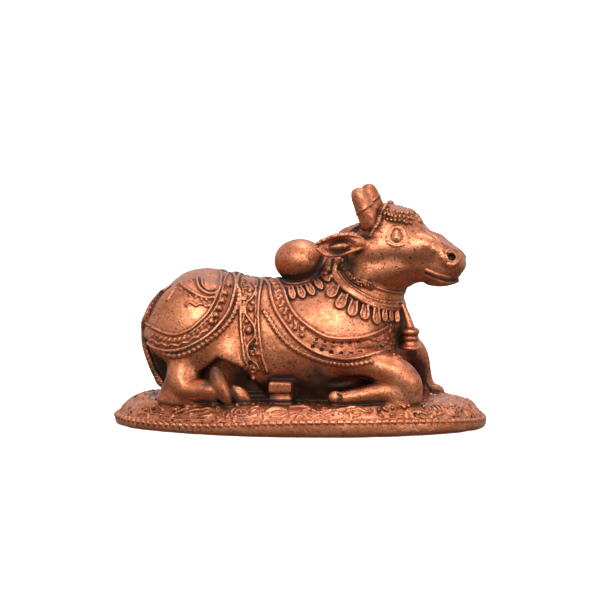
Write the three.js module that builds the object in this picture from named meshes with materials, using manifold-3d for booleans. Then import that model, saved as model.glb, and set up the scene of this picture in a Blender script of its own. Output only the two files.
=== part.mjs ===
// A small cast copper figure of a reclining bull, with its collar, garlands, bell and
// cloth bands, on a low oval base. The bull and the base are one casting.
// Millimetres, +Z up. The bull faces +X, and the origin is under the middle of the base.

import * as THREE from 'three';
import { LoftGeometry } from 'three/addons/geometries/LoftGeometry.js';
import { mergeVertices } from 'three/addons/utils/BufferGeometryUtils.js';
import Module from 'manifold-3d';

const wasm = await Module();
wasm.setup();

// Driving sizes
const bullLength = 70; // from the tail to the muzzle
const bullWidth = 37; // over the haunches
const baseMarginEnds = 5; // the base reaches this far past the bull, in front and behind
const baseMarginSides = 5.5; // and this far at each side
const baseHeight = 6.3; // floor to the flat top that the bull lies on
const rimHeight = 3; // the plain upright edge
const rimBulge = 0.35; // the edge swells outwards by this much
const slopeInset = 4.6; // the carved slope between the edge and the flat top
const beadRadius = 0.4; // the fine bead line along the top of the edge
const leafPitch = 9; // leaves around the slope
const leafLength = 5.4;
const leafWidth = 1.7;
const leafHeight = 0.5;
const bandHeight = 0.6; // the cloth bands stand proud by this much
const ridgeRadius = 0.5; // the raised cords that edge each band
const ropeRadius = 0.6; // the beaded rope outside the cords
const bossRadius = 0.7; // round bosses between the cords

const baseHalfLength = bullLength / 2 + baseMarginEnds;
const baseHalfWidth = bullWidth / 2 + baseMarginSides;

// The figure is laid out on a sculptor's grid of 70 squares to its length. Heights
// are counted from the top of the base.
const grid = bullLength / 70;
const gridAcross = bullWidth / 37;

function at(x, y, z) {
  return new THREE.Vector3(x * grid, y * gridAcross, baseHeight + z * grid);
}

// Solids and geometries

function solidOf(geometry) {
  const bare = new THREE.BufferGeometry();
  bare.setAttribute('position', geometry.attributes.position);
  bare.setIndex(geometry.index);
  const merged = mergeVertices(bare, 1e-4);
  return new wasm.Manifold(new wasm.Mesh({
    numProp: 3,
    vertProperties: new Float32Array(merged.attributes.position.array),
    triVerts: new Uint32Array(merged.index.array),
  }));
}

function geometryOf(solid) {
  const mesh = solid.getMesh();
  const geometry = new THREE.BufferGeometry();
  geometry.setAttribute('position', new THREE.BufferAttribute(mesh.vertProperties, 3));
  geometry.setIndex(new THREE.BufferAttribute(mesh.triVerts, 1));
  geometry.computeVertexNormals();
  return geometry;
}

function joined(solids) {
  return solids.reduce((all, next) => all.add(next));
}

function loft(sections) {
  return solidOf(new LoftGeometry(sections, { capStart: true, capEnd: true }));
}

// A smooth curve through the rows of a table of numbers, read at count places.
function smoothRows(rows, count) {
  const width = rows[0].length;
  const curves = [];
  for (let k = 0; k < width; k += 3) {
    const points = rows.map((row) => new THREE.Vector3(row[k], row[k + 1] ?? 0, row[k + 2] ?? 0));
    curves.push(new THREE.CatmullRomCurve3(points, false, 'catmullrom', 0.5));
  }
  const result = [];
  for (let i = 0; i < count; i++) {
    const t = i / (count - 1);
    const values = curves.flatMap((curve) => curve.getPoint(t).toArray());
    result.push(values.slice(0, width));
  }
  return result;
}

// A body skinned over upright sections. Each row gives x, top, bottom, half-width and
// squareness, where 2 is an ellipse and more is fuller.
function uprightBody(rows, count, sides) {
  const sections = smoothRows(rows, count).map(([x, top, bottom, halfWidth, squareness]) => {
    const ring = [];
    for (let j = 0; j < sides; j++) {
      const angle = (j / sides) * 2 * Math.PI;
      const c = Math.cos(angle);
      const s = Math.sin(angle);
      const y = halfWidth * Math.sign(c) * Math.abs(c) ** (2 / squareness);
      const z = (top + bottom) / 2 + ((top - bottom) / 2) * Math.sign(s) * Math.abs(s) ** (2 / squareness);
      ring.push(at(x, y, z));
    }
    return ring;
  });
  return loft(sections);
}

// A limb skinned over rings along a curve. Each row gives the centre x, y, z, the
// half-width to the side and the half-height.
function limb(rows, count, sides, upward = new THREE.Vector3(0, 0, 1)) {
  const rings = smoothRows(rows, count);
  const centres = rings.map(([x, y, z]) => at(x, y, z));
  const sections = rings.map((row, i) => {
    const before = centres[Math.max(i - 1, 0)];
    const after = centres[Math.min(i + 1, count - 1)];
    const along = after.clone().sub(before).normalize();
    const side = upward.clone().cross(along).normalize();
    const up = along.clone().cross(side);
    const ring = [];
    for (let j = 0; j < sides; j++) {
      const angle = (j / sides) * 2 * Math.PI;
      ring.push(centres[i].clone()
        .addScaledVector(side, row[3] * grid * Math.cos(angle))
        .addScaledVector(up, row[4] * grid * Math.sin(angle)));
    }
    return ring;
  });
  return loft(sections);
}

// An egg, turned by degrees about Y, then about Z.
function egg(x, y, z, halfLength, halfWidth, halfHeight, pitch = 0, yaw = 0, sides = 14) {
  const geometry = new THREE.SphereGeometry(1, sides, Math.round(sides * 0.6));
  geometry.rotateX(Math.PI / 2);
  geometry.scale(halfLength * grid, halfWidth * grid, halfHeight * grid);
  geometry.rotateY(THREE.MathUtils.degToRad(pitch));
  geometry.rotateZ(THREE.MathUtils.degToRad(yaw));
  const place = at(x, y, z);
  geometry.translate(place.x, place.y, place.z);
  return solidOf(geometry);
}

function mirrored(solid) {
  return solid.mirror([0, 1, 0]);
}

// The oval base: an upright edge, a carved slope and a flat top

function ovalRing(inset, z, sides) {
  const ring = [];
  for (let j = 0; j < sides; j++) {
    const angle = (j / sides) * 2 * Math.PI;
    ring.push(new THREE.Vector3(
      (baseHalfLength - inset) * Math.cos(angle),
      (baseHalfWidth - inset) * Math.sin(angle),
      z,
    ));
  }
  return ring;
}

function baseBody() {
  const sides = 42;
  const slopeRise = baseHeight - rimHeight;
  return loft([
    ovalRing(rimBulge * 1.6, 0, sides),
    ovalRing(0, rimHeight * 0.62, sides),
    ovalRing(rimBulge, rimHeight, sides),
    ovalRing(rimBulge + beadRadius, rimHeight + beadRadius, sides),
    ovalRing(rimBulge + beadRadius * 2, rimHeight + beadRadius * 0.4, sides),
    ovalRing(rimBulge + slopeInset * 0.66, rimHeight + slopeRise * 0.78, sides),
    ovalRing(rimBulge + slopeInset, baseHeight, sides),
  ]);
}

// Evenly spaced places around the oval, each with its direction along the edge.
function placesAroundOval(inset, pitch) {
  const oval = new THREE.EllipseCurve(0, 0, baseHalfLength - inset, baseHalfWidth - inset);
  const count = Math.round(oval.getLength() / pitch);
  const places = [];
  for (let i = 0; i < count; i++) {
    const t = i / count;
    places.push({ point: oval.getPointAt(t), along: oval.getTangentAt(t) });
  }
  return places;
}

function baseLeaves() {
  const middle = rimBulge + slopeInset * 0.52;
  const rise = Math.atan2(baseHeight - rimHeight, slopeInset);
  return placesAroundOval(middle, leafPitch).map(({ point, along }) => {
    const leaf = new THREE.OctahedronGeometry(1);
    leaf.scale(leafLength / 2, leafWidth / 2, leafHeight);
    leaf.rotateZ(0.42);
    leaf.rotateX(rise);
    leaf.rotateZ(Math.atan2(along.y, along.x));
    leaf.translate(point.x, point.y, rimHeight + (baseHeight - rimHeight) * 0.52);
    return solidOf(leaf);
  });
}

// The bull's body

function trunk() {
  return uprightBody([
    [-32.6, 14.5, 9, 1.5, 2],
    [-32, 17, 5, 5, 2],
    [-30.8, 20.2, 2, 8.3, 2.1],
    [-28.6, 23.3, 0.5, 11, 2.2],
    [-25, 26.1, -2, 12.9, 2.3],
    [-20, 27, -3, 13.6, 2.3],
    [-15, 26.1, -4, 13.8, 2.2],
    [-8, 24.9, -4, 14, 2.2],
    [-1, 25.2, -4, 14.2, 2.2],
    [6, 26.4, -4, 14.2, 2.2],
    [12, 25.5, -3, 13.5, 2.2],
    [17, 23, -2, 11.8, 2.1],
    [20, 20.5, -1, 9.6, 2.1],
    [22, 17.5, 0, 7, 2],
    [23, 13.5, 3, 3.5, 2],
  ], 20, 18);
}

// The neck rises from the shoulders and leans forward. Each row gives the ring's centre
// x and z, its half-length, half-width and the fall of its front, in degrees.
function neck() {
  const rows = [
    [5, 11, 12.5, 12, 20],
    [11, 18.5, 10.8, 10.6, 28],
    [14.6, 23.7, 8.8, 8.7, 33],
    [16.1, 28, 7.5, 7.5, 33],
    [16.8, 33, 5.6, 6, 33],
  ];
  const sides = 16;
  const sections = smoothRows(rows, 6).map(([x, z, halfLength, halfWidth, fall]) => {
    const tilt = THREE.MathUtils.degToRad(fall);
    const ring = [];
    for (let j = 0; j < sides; j++) {
      const angle = (j / sides) * 2 * Math.PI;
      const reach = halfLength * Math.cos(angle);
      ring.push(at(x + reach * Math.cos(tilt), halfWidth * Math.sin(angle), z - reach * Math.sin(tilt)));
    }
    return ring;
  });
  return loft(sections);
}

// The loose skin of the chest, down to the base between the forelegs.
function brisket() {
  return egg(18.6, 0, 7, 4.4, 6, 9, -6, 0, 8);
}

function hump() {
  return egg(0.4, 0, 29, 5.7, 4.6, 4.7, 14, 0, 12);
}

function haunch() {
  return joined([
    egg(-21.6, -8.3, 13.2, 11.1, 8.5, 12.9, 14, 6, 12),
    egg(-14.5, -9, 8.6, 8, 7, 8.6, -14, 10, 8),
  ]);
}

function hindLeg() {
  return joined([
    // hock, and the cannon that lies forwards along the base
    limb([
      [-19, -8.5, 14.5, 4.5, 5.4],
      [-25, -14, 7, 3.4, 3.6],
      [-26.3, -15, 3.4, 2.9, 2.9],
      [-24, -15.8, 2, 2.5, 2.4],
      [-19.5, -16.4, 2, 2.3, 2.2],
      [-15.5, -16.8, 2, 2.1, 2],
    ], 9, 8, new THREE.Vector3(0.2, -1, 0.1)),
    egg(-26.7, -15, 1.4, 2.5, 2.4, 2, 0, 0, 8), // heel
    hoof(-15.4, -17.2, 3.8, 2, 4.3, 16),
    hoof(-11.6, -15.2, 2, 2, 2.7, 42),
  ]);
}

// One toe of a hoof: a drop standing on its broad end.
function hoof(x, y, z, halfWidth, halfHeight, lean) {
  return egg(x, y, z, halfWidth, halfWidth * 0.85, halfHeight, -lean, 0, 8);
}

// The other hind foot shows under the belly as a small stepped block.
function farFoot() {
  const block = new THREE.BoxGeometry(5.2 * grid, 6 * gridAcross, 2.6 * grid);
  const upper = at(-2.4, -14.6, 3.2);
  block.translate(upper.x, upper.y, upper.z);
  const sole = new THREE.BoxGeometry(4.8 * grid, 6 * gridAcross, 2.8 * grid);
  const lower = at(-2.4, -14.2, 0.9);
  sole.translate(lower.x, lower.y, lower.z);
  return joined([solidOf(block), solidOf(sole)]);
}

function nearForeleg() {
  return joined([
    // upper arm and forearm, down to the knee
    limb([
      [5, -5, 8.6, 5, 5],
      [12, -10.5, 6.6, 5, 4.2],
      [18, -12.6, 6.6, 4.2, 4.4],
      [22.6, -13.8, 5.6, 3.2, 4.1],
      [25.5, -14.2, 3.2, 2.4, 3.2],
      [26, -14.2, 0.2, 1.8, 1.9],
    ], 8, 8),
    // the cannon folded back under it, with its hoof
    limb([
      [25, -14.4, 1.7, 2.2, 2],
      [19, -15.2, 2.5, 2.1, 2.1],
      [13, -15.8, 2, 1.9, 1.6],
      [10, -16, 1.4, 1.7, 1.5],
    ], 6, 8),
    egg(8.4, -16, 1.2, 2.4, 1.6, 1.6, 6, 0, 8),
  ]);
}

function farForeleg() {
  return joined([
    limb([
      [14, 6, 9, 4.4, 4.6],
      [20, 7.8, 10.6, 3.2, 3.2],
      [23.4, 8.4, 9.6, 2.4, 2.6],
      [25, 8.6, 6.6, 1.9, 2],
      [25.9, 8.7, 3.2, 1.6, 1.7],
      [26.6, 8.8, -0.4, 2, 2.2],
    ], 7, 8, new THREE.Vector3(0.6, 0, 0.8)),
    egg(27.6, 8.8, 0.6, 2.6, 2.1, 1.5, 10, 0, 8),
  ]);
}

// The tail hangs from the rump in an arc, clear of it, and ends behind the hock.
function tail() {
  return limb([
    [-24, 0, 25.8, 0.5, 0.6],
    [-28.2, -1.2, 23.4, 0.75, 0.7],
    [-31, -3, 20.6, 0.8, 0.75],
    [-32.8, -5.2, 16, 0.8, 0.8],
    [-32.7, -8, 11.8, 0.8, 0.8],
    [-30.9, -10.5, 7.8, 0.8, 0.8],
    [-28.3, -12, 4, 0.9, 0.85],
    [-26.6, -12.8, 1.2, 1, 0.9],
  ], 11, 6);
}

// The head, turned a little towards the right flank

const headTurn = THREE.MathUtils.degToRad(-6);
const headPivot = at(13, 0, 0);

function turned(solid) {
  return solid
    .translate([-headPivot.x, 0, 0])
    .rotate([0, 0, THREE.MathUtils.radToDeg(headTurn)])
    .translate([headPivot.x, 0, 0]);
}

function skull() {
  return uprightBody([
    [9.9, 35, 32.5, 2, 2],
    [10.8, 38, 29.6, 4.8, 2.1],
    [13, 39.2, 26.8, 6.3, 2.2],
    [15.5, 39.8, 24.6, 6.8, 2.2],
    [18.5, 40.6, 23.2, 6.9, 2.2],
    [21, 40.6, 23, 6.5, 2.2],
    [23.5, 39.9, 23.8, 5.8, 2.2],
    [25.5, 38.4, 24.8, 5.1, 2.2],
    [28, 36, 25, 4.5, 2.3],
    [30.5, 34.4, 24.6, 4.2, 2.4],
    [33, 33, 24.4, 4.1, 2.4],
    [34.9, 31.6, 25.2, 3.6, 2.3],
    [35.8, 29.6, 27.2, 1.9, 2],
  ], 14, 13);
}

function face(side) {
  return joined([
    egg(21.2, side * 5.8, 35.4, 1.8, 1.3, 1.6, 0, side * -14, 8), // eye
    egg(33, side * 3.3, 30.6, 1.7, 1.2, 1.4, 20, 0, 6), // nostril wing
  ]);
}

// A cushion of curls over the brow.
function browCurls() {
  return egg(22.4, 0, 39.3, 4.1, 5, 1.7, 24, 0, 10);
}

function horn(side) {
  return limb([
    [15.6, side * 3.6, 36.4, 2.6, 2.6],
    [15, side * 4.2, 39.6, 2.05, 2.05],
    [14.9, side * 4.2, 40, 2.3, 2.3],
    [14.1, side * 4.5, 42.4, 2.1, 2.1],
    [13.6, side * 4.5, 44.2, 1.6, 1.6],
    [13.3, side * 4.5, 45.3, 0.7, 0.7],
  ], 8, 8, new THREE.Vector3(1, 0, 0));
}

// A leaf-shaped ear that points backwards, with a rolled rim and a hollow face.
function ear(side) {
  const blade = limb([
    [16, side * 5.6, 33.6, 0.9, 0.9],
    [13.6, side * 7.6, 34, 1.1, 1.9],
    [10.6, side * 9.2, 33.6, 1.2, 2.5],
    [7.8, side * 10.2, 33.2, 1, 1.8],
    [5.8, side * 10.8, 33.6, 0.4, 0.4],
  ], 6, 6);
  const hollow = egg(10.2, side * 10.8, 33.4, 3.2, 0.9, 1.4, 4, side * -22, 6);
  return blade.subtract(hollow);
}

// Places on the skin

// The long axis inside the body, from the rump to the shoulders.
const rumpMiddle = at(-22, 0, 12);
const shoulderMiddle = at(13, 0, 12);

function axisPoint(x) {
  const place = rumpMiddle.clone();
  place.x = THREE.MathUtils.clamp(at(x, 0, 0).x, rumpMiddle.x, shoulderMiddle.x);
  return place;
}

// Finds the skin outwards from the long axis of the body, towards a rough place near it.
function skinFinder(solid) {
  const mesh = new THREE.Mesh(geometryOf(solid), new THREE.MeshBasicMaterial({ side: THREE.DoubleSide }));
  const ray = new THREE.Raycaster();
  const reach = 2 * bullLength;
  return ([x, y, z]) => {
    const centre = axisPoint(x);
    const outward = at(x, y, z).sub(centre).normalize();
    ray.set(centre.clone().addScaledVector(outward, reach), outward.clone().negate());
    return { point: ray.intersectObject(mesh)[0].point, outward };
  };
}

// A raised cord over the skin. Its section has four sides, and one corner stands up.
function cord(find, rows, count, radius) {
  const places = smoothRows(rows, count).map(find);
  const sections = places.map(({ point, outward }, i) => {
    const before = places[Math.max(i - 1, 0)].point;
    const after = places[Math.min(i + 1, count - 1)].point;
    const along = after.clone().sub(before).normalize();
    const side = outward.clone().cross(along).normalize();
    const up = along.clone().cross(side);
    return [0, 1, 2, 3].map((j) => point.clone()
      .addScaledVector(side, radius * grid * Math.cos((j * Math.PI) / 2))
      .addScaledVector(up, radius * grid * Math.sin((j * Math.PI) / 2)));
  });
  return loft(sections);
}

// A cloth band between two edges that lie on the skin. Its edges stand up as cords.
function band(find, firstRows, secondRows, count) {
  const rowSets = [firstRows, between(firstRows, secondRows), secondRows];
  const [first, middle, second] = rowSets.map((rows) => smoothRows(rows, count).map(find));
  const sections = middle.map((centre, i) => {
    const across = second[i].point.clone().sub(first[i].point).normalize();
    const raised = (place, shift, height) => place.point.clone()
      .addScaledVector(across, shift)
      .addScaledVector(place.outward, height);
    return [
      raised(first[i], -ridgeRadius, -bandHeight),
      raised(first[i], 0, bandHeight),
      raised(centre, 0, bandHeight * 0.5),
      raised(second[i], 0, bandHeight),
      raised(second[i], ridgeRadius, -bandHeight),
    ];
  });
  const along = middle[1].point.clone().sub(middle[0].point);
  const acrossStart = second[0].point.clone().sub(first[0].point);
  const windsBackwards = acrossStart.cross(middle[0].outward).dot(along) > 0;
  if (windsBackwards) sections.forEach((ring) => ring.reverse());
  return loft(sections);
}

// Rows between two rows of places, at a share of the way from the first to the second.
function between(first, second, share = 0.5) {
  const rows = Math.max(first.length, second.length);
  const others = smoothRows(second, rows);
  return smoothRows(first, rows).map((row, i) => row.map((value, k) => value + (others[i][k] - value) * share));
}

function flipped(rows) {
  return rows.map(([x, y, z]) => [x, -y, z]);
}

// The same ornament on the near and the far flank.
function onBothSides(rows, make) {
  return [make(rows), make(flipped(rows))];
}

// Small bosses in a row over the skin.
function bosses(find, rows, count, radius) {
  return smoothRows(rows, count).map((row) => {
    const { point } = find(row);
    const boss = new THREE.OctahedronGeometry(radius * grid);
    boss.translate(point.x, point.y, point.z);
    return solidOf(boss);
  });
}

// Drop-shaped pods that hang in a row, each lying on the skin with its broad end down.
function pods(find, rows, count, halfWidth, halfLength) {
  return smoothRows(rows, count).map((row) => {
    const { point, outward } = find(row);
    const across = new THREE.Vector3(0, 0, 1).cross(outward).normalize();
    const upward = outward.clone().cross(across);
    const pod = new THREE.SphereGeometry(1, 5, 4);
    pod.rotateX(Math.PI / 2);
    pod.scale(halfWidth * grid, halfWidth * grid, halfLength * grid);
    pod.applyMatrix4(new THREE.Matrix4().makeBasis(outward, across, upward));
    pod.translate(point.x, point.y, point.z);
    return solidOf(pod);
  });
}

// A collar round the neck or the hump: it falls to the front and hangs lower at the sides.
function collar(x, z, halfLength, halfWidth, fall, droop, thickness, steps) {
  const ring = new THREE.TorusGeometry(1, 1, 5, steps);
  const places = ring.attributes.position;
  const tilt = THREE.MathUtils.degToRad(fall);
  for (let i = 0; i < places.count; i++) {
    const angle = Math.atan2(places.getY(i), places.getX(i));
    const outward = Math.hypot(places.getX(i), places.getY(i)) - 1;
    const length = halfLength + outward * thickness;
    const reach = length * Math.cos(angle);
    const rise = places.getZ(i) * thickness;
    const place = at(
      x + reach * Math.cos(tilt) + rise * Math.sin(tilt),
      (halfWidth + outward * thickness) * Math.sin(angle),
      z - reach * Math.sin(tilt) + rise * Math.cos(tilt) - droop * Math.sin(angle) ** 2,
    );
    places.setXYZ(i, place.x, place.y, place.z);
  }
  return solidOf(ring);
}

function bell() {
  const outline = [[0, 6.6], [0.75, 6.2], [0.8, 4.9], [1.35, 4.5], [1.4, 2.4], [1.7, 1.2], [2.1, 0.5], [2.1, 0], [0, 0.2]];
  const shape = new THREE.LatheGeometry(outline.map(([r, h]) => new THREE.Vector2(r * grid, h * grid)).reverse(), 8);
  shape.rotateX(Math.PI / 2);
  const place = at(23.5, -1, 10.9);
  shape.translate(place.x, place.y, place.z);
  return solidOf(shape);
}

function bellStrap() {
  return limb([[22, -0.6, 20, 0.9, 0.7], [23, -0.8, 18.6, 0.9, 0.7], [23.5, -1, 16.5, 0.8, 0.7]], 3, 6);
}

// Bands and garlands. Each row is a rough place near the skin of the right flank.

const shoulderInner = [
  [-5, 0.4, 25], [-2.8, -6, 24], [-1.2, -10.7, 20.7], [1.9, -12.9, 17.5], [4.8, -13.6, 15.7],
  [7.6, -13.7, 14.7], [11.8, -14.4, 14.2], [15.9, -13.2, 14.5], [19.6, -9, 15], [22, -4.5, 14.8],
  [23, 0.4, 14.6],
];
const shoulderOuter = [
  [-7.2, 0.4, 25], [-6.2, -5, 24.2], [-5.1, -10.4, 20.6], [-1.6, -13.2, 15.6], [2.5, -14, 12.2],
  [7, -14, 10.2], [12, -15.4, 9.8], [16.6, -14.6, 10.6], [20.4, -9.6, 11.2], [22.3, -4.5, 11],
  [23, 0.4, 11],
];
const shoulderRope = [
  [-6.7, -9.4, 21.6], [-6.4, -11.8, 18.8], [-4.7, -13.4, 15.6], [-2.1, -13.9, 12.6], [3.3, -14, 9],
  [7.6, -13.7, 8], [12, -15.6, 8], [16.2, -16.4, 8.6],
];
const girthBack = [
  [-12.6, 0.4, 25.4], [-12.2, -6, 24], [-11.7, -9.8, 21.5], [-11.3, -12.9, 16.5], [-10.9, -14.2, 11.2],
  [-10.3, -14.2, 7.4],
];
const girthFront = [
  [-8, 0.4, 24.8], [-7.8, -6, 23.4], [-7.5, -10.4, 20.6], [-7.3, -12.8, 16.8], [-6.9, -13.9, 11.5],
  [-5.4, -13.6, 6.5],
];
const blanketRope = [
  [-12.5, -4.9, 24.9], [-11.9, -11.1, 20.2], [-12.8, -12.9, 16.7], [-15.2, -14.5, 14.1],
  [-18.3, -16, 12], [-21.5, -16.1, 10.2], [-26.1, -15.7, 9.9], [-29.3, -14.3, 11.2],
];
const blanketOuter = [
  [-13.4, 0.4, 26], [-13.1, -5.1, 24.9], [-13.8, -10.3, 21.6], [-14.2, -13, 18.6], [-15.9, -14.7, 16.1],
  [-18.5, -16.1, 13.7], [-22.1, -16.4, 11.8], [-26.1, -15.8, 11.4], [-30.1, -13.6, 12],
];
const blanketInner = [
  [-17, 0.4, 26.4], [-16.6, -4, 25.8], [-16.3, -8.7, 24.5], [-16.7, -12.7, 22.2], [-18.2, -14.7, 19.6],
  [-20.6, -15.9, 17.2], [-23.4, -16.3, 15.6], [-26.5, -15.7, 15.2], [-30.8, -12.8, 15.8],
];
const neckPods = [
  [7.2, -8.6, 24.2], [9.6, -10, 22.4], [12, -10.8, 20.8], [14.6, -10.8, 19.2], [17.4, -9.8, 17.8],
  [19.8, -7.4, 17.2], [21.4, -4.8, 17.2], [22.4, -2.4, 17.2],
];

const headParts = [skull(), browCurls(), face(-1), face(1), horn(-1), horn(1), ear(-1), ear(1)];
const head = turned(joined(headParts));
const torso = joined([trunk(), brisket(), neck(), haunch(), mirrored(haunch())]);
const onTorso = skinFinder(torso);

const bands = [
  [shoulderInner, shoulderOuter], [girthBack, girthFront], [blanketInner, blanketOuter],
].flatMap(([first, second]) => [
  band(onTorso, first, second, 11),
  band(onTorso, flipped(first), flipped(second), 7),
]);
const ropes = [shoulderRope, blanketRope].map((rows) => cord(onTorso, rows, 7, ropeRadius));
const blanketBosses = bosses(onTorso, between(blanketOuter, blanketInner), 9, bossRadius);
const garland = onBothSides(neckPods, (side) => pods(onTorso, side, 8, 1.1, 2)).flat();

const figure = joined([
  baseBody(), ...baseLeaves(),
  torso, nearForeleg(), farForeleg(), hump(), hindLeg(), farFoot(), tail(), head,
  ...bands, ...ropes, ...blanketBosses, ...garland,
  collar(14.7, 23.8, 8.7, 8.6, 33, 1.8, 1.1, 15),
  collar(15.4, 26.6, 7.8, 7.8, 33, 1.4, 0.8, 12),
  collar(0.8, 26.2, 5.2, 5.2, -22, 0, 0.6, 12),
  bell(), bellStrap(),
]);

const copper = new THREE.MeshStandardMaterial({
  color: new THREE.Color(0.56, 0.27, 0.16),
  roughness: 0.38,
  metalness: 0.9,
});

const bull = new THREE.Mesh(geometryOf(figure), copper);
bull.name = 'nandi_bull_figure';

const group = new THREE.Group();
group.add(bull);

export default group;
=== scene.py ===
import math

import bpy
import numpy as np
import openvdb
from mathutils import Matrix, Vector


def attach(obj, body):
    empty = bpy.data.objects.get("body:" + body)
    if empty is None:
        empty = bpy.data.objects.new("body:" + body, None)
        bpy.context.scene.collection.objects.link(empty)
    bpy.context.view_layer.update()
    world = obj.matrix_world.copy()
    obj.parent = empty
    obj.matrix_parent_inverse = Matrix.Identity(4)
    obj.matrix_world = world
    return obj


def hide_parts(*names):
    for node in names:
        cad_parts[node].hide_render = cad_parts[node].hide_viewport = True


# The bull and its base are one copper casting. It is modelled here the way a wax is: big
# forms are put together and smoothed into each other, then cords, beads and leaves are
# laid on the skin. All of it is worked out in millimetres as distances on a fine grid, and
# the surface is taken from the grid at the end.

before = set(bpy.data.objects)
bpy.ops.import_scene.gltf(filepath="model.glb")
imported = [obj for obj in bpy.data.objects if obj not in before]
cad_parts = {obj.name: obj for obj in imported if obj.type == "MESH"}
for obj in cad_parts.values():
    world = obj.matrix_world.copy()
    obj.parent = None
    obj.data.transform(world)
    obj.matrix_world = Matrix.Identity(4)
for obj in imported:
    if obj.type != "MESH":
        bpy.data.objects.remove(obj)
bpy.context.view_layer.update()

wax = {
    "step": 0.2,  # mm between grid points
    "reach": 2.4,  # mm, distances beyond this aren't kept
    "stroke": 0.14,  # mm from one stamp of a cord to the next
    "low": (-42.0, -26.0, -1.2),
    "high": (42.0, 26.0, 54.0),
    "proudest": 1.5,  # mm, no ornament but the bell and the tail stands out further
    # mm, how softly what stands proud and what is cut in run into the skin
    "proudBlend": 0.22,
    "cutBlend": 0.12,
}

base = {
    "halfLength": 40.0,
    "halfWidth": 24.0,
    "height": 6.3,
    # height of the rim's top edge from the tail's end to the muzzle's
    "rimLine": [(-40, 2.2), (-36, 2.05), (-29.4, 2), (-17, 2.3), (-10.6, 2.65), (-4.8, 3.1), (1, 3.35),
                (8, 3.5), (24, 3.45), (31, 3.1), (36, 2.7), (40, 2.1)],
    # how far in from the oval the edge stands, by share of the rim's height and then of the slope's
    "rim": [(0.7, 0), (0.2, 0.14), (0.04, 0.35), (0, 0.6), (0.06, 0.85), (0.3, 1)],
    "slope": [(0.85, 0.06), (1.2, 0.2), (2.2, 0.48), (3.6, 0.75), (5, 0.92), (6.2, 0.99), (7, 1)],
    # under the near knee and the haunch's foot the top reaches further out
    "ledges": [
        [[13, -18, -1.8], [17, -17.6, -1.3], [21, -16.8, -1], [25, -15.2, -1.1], [28.5, -13, -1.7]],
        [[-32, -10, -1.8], [-28, -13.4, -1.3], [-24, -15.2, -1.2], [-20, -16.4, -1.4], [-15, -17.4, -2]],
    ],
    "ledgeSize": (1.3, 1.5),  # half its width and half its height
    "beads": 124,
    "beadRadius": 0.36,
    "beadTilt": ((-30, -12), (-52, -8)),  # degrees at two places along the base
    "beadFlats": (0.44, 0.12, 0.06),  # half of its flat part along, up and out
    "scroll": 0.24,
}

step = wax["step"]
reach = wax["reach"]
stroke = wax["stroke"]
gridLow = np.round(np.array(wax["low"]) / step).astype(int)
gridSize = np.round(np.array(wax["high"]) / step).astype(int) - gridLow + 1


# Grid tools

def emptyGrid():
    return np.full(gridSize, reach, np.float32)


def smoothJoin(a, b, radius):
    lower = np.minimum(a, b)
    gap = np.abs(a - b)
    return lower - np.square(np.maximum(radius - gap, 0)) / (4 * radius)


def solidWindow(points, quads, triangles):
    # distances to a closed mesh, in the smallest window that holds it
    width = int(math.ceil(reach / step))
    grid = openvdb.FloatGrid.createLevelSetFromPolygons(
        points.astype(np.float32),
        triangles=triangles.astype(np.uint32),
        quads=quads.astype(np.uint32),
        transform=openvdb.createLinearTransform(voxelSize=step),
        halfWidth=width,
    )
    first = np.maximum(np.floor(points.min(0) / step).astype(int) - width, gridLow)
    last = np.minimum(np.ceil(points.max(0) / step).astype(int) + width, gridLow + gridSize - 1)
    window = np.full(last - first + 1, reach, np.float32)
    grid.copyToArray(window, ijk=tuple(int(v) for v in first))
    place = tuple(slice(a, b + 1) for a, b in zip(first - gridLow, last - gridLow))
    return window, place


def join(grid, solid, radius):
    window, place = solidWindow(*solid)
    grid[place] = smoothJoin(grid[place], window, radius)


def carve(grid, solid, radius):
    window, place = solidWindow(*solid)
    grid[place] = -smoothJoin(-grid[place], window, radius)


def sample(grid, points, spacing=step):
    place = np.clip((points - gridLow * step) / spacing, 0, np.array(grid.shape) - 1.001)
    corner = place.astype(int)
    share = place - corner
    total = 0
    for i in (0, 1):
        for j in (0, 1):
            for k in (0, 1):
                weight = (
                    (share[:, 0] if i else 1 - share[:, 0])
                    * (share[:, 1] if j else 1 - share[:, 1])
                    * (share[:, 2] if k else 1 - share[:, 2])
                )
                total = total + weight * grid[corner[:, 0] + i, corner[:, 1] + j, corner[:, 2] + k]
    return total


def unit(vectors):
    return vectors / np.maximum(np.linalg.norm(vectors, axis=-1, keepdims=True), 1e-9)


def outwards(grid, points, spread=0.8):
    # the direction off the skin at each point
    sides = []
    for axis in range(3):
        shift = np.zeros(3)
        shift[axis] = step * spread
        sides.append(sample(grid, points + shift) - sample(grid, points - shift))
    return unit(np.stack(sides, -1))


def trace(grid, starts, directions, turns=70):
    # walks in from outside until the skin is met
    places = starts.copy()
    for _ in range(turns):
        places = places + directions * np.maximum(sample(grid, places), -0.3)[:, None] * 0.9
    return places


def settle(grid, points, turns=12):
    # moves points on to the skin
    for _ in range(turns):
        points = points - outwards(grid, points) * sample(grid, points)[:, None] * 0.8
    return points


def softened(grid, turns=1):
    # evens out the grid a little in all three directions
    for _ in range(turns):
        for axis in range(3):
            grid = np.moveaxis(grid, axis, 0)
            soft = grid.copy()
            soft[1:-1] = (grid[:-2] + 2 * grid[1:-1] + grid[2:]) / 4
            grid = np.moveaxis(soft, 0, axis)
    return np.ascontiguousarray(grid)


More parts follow.
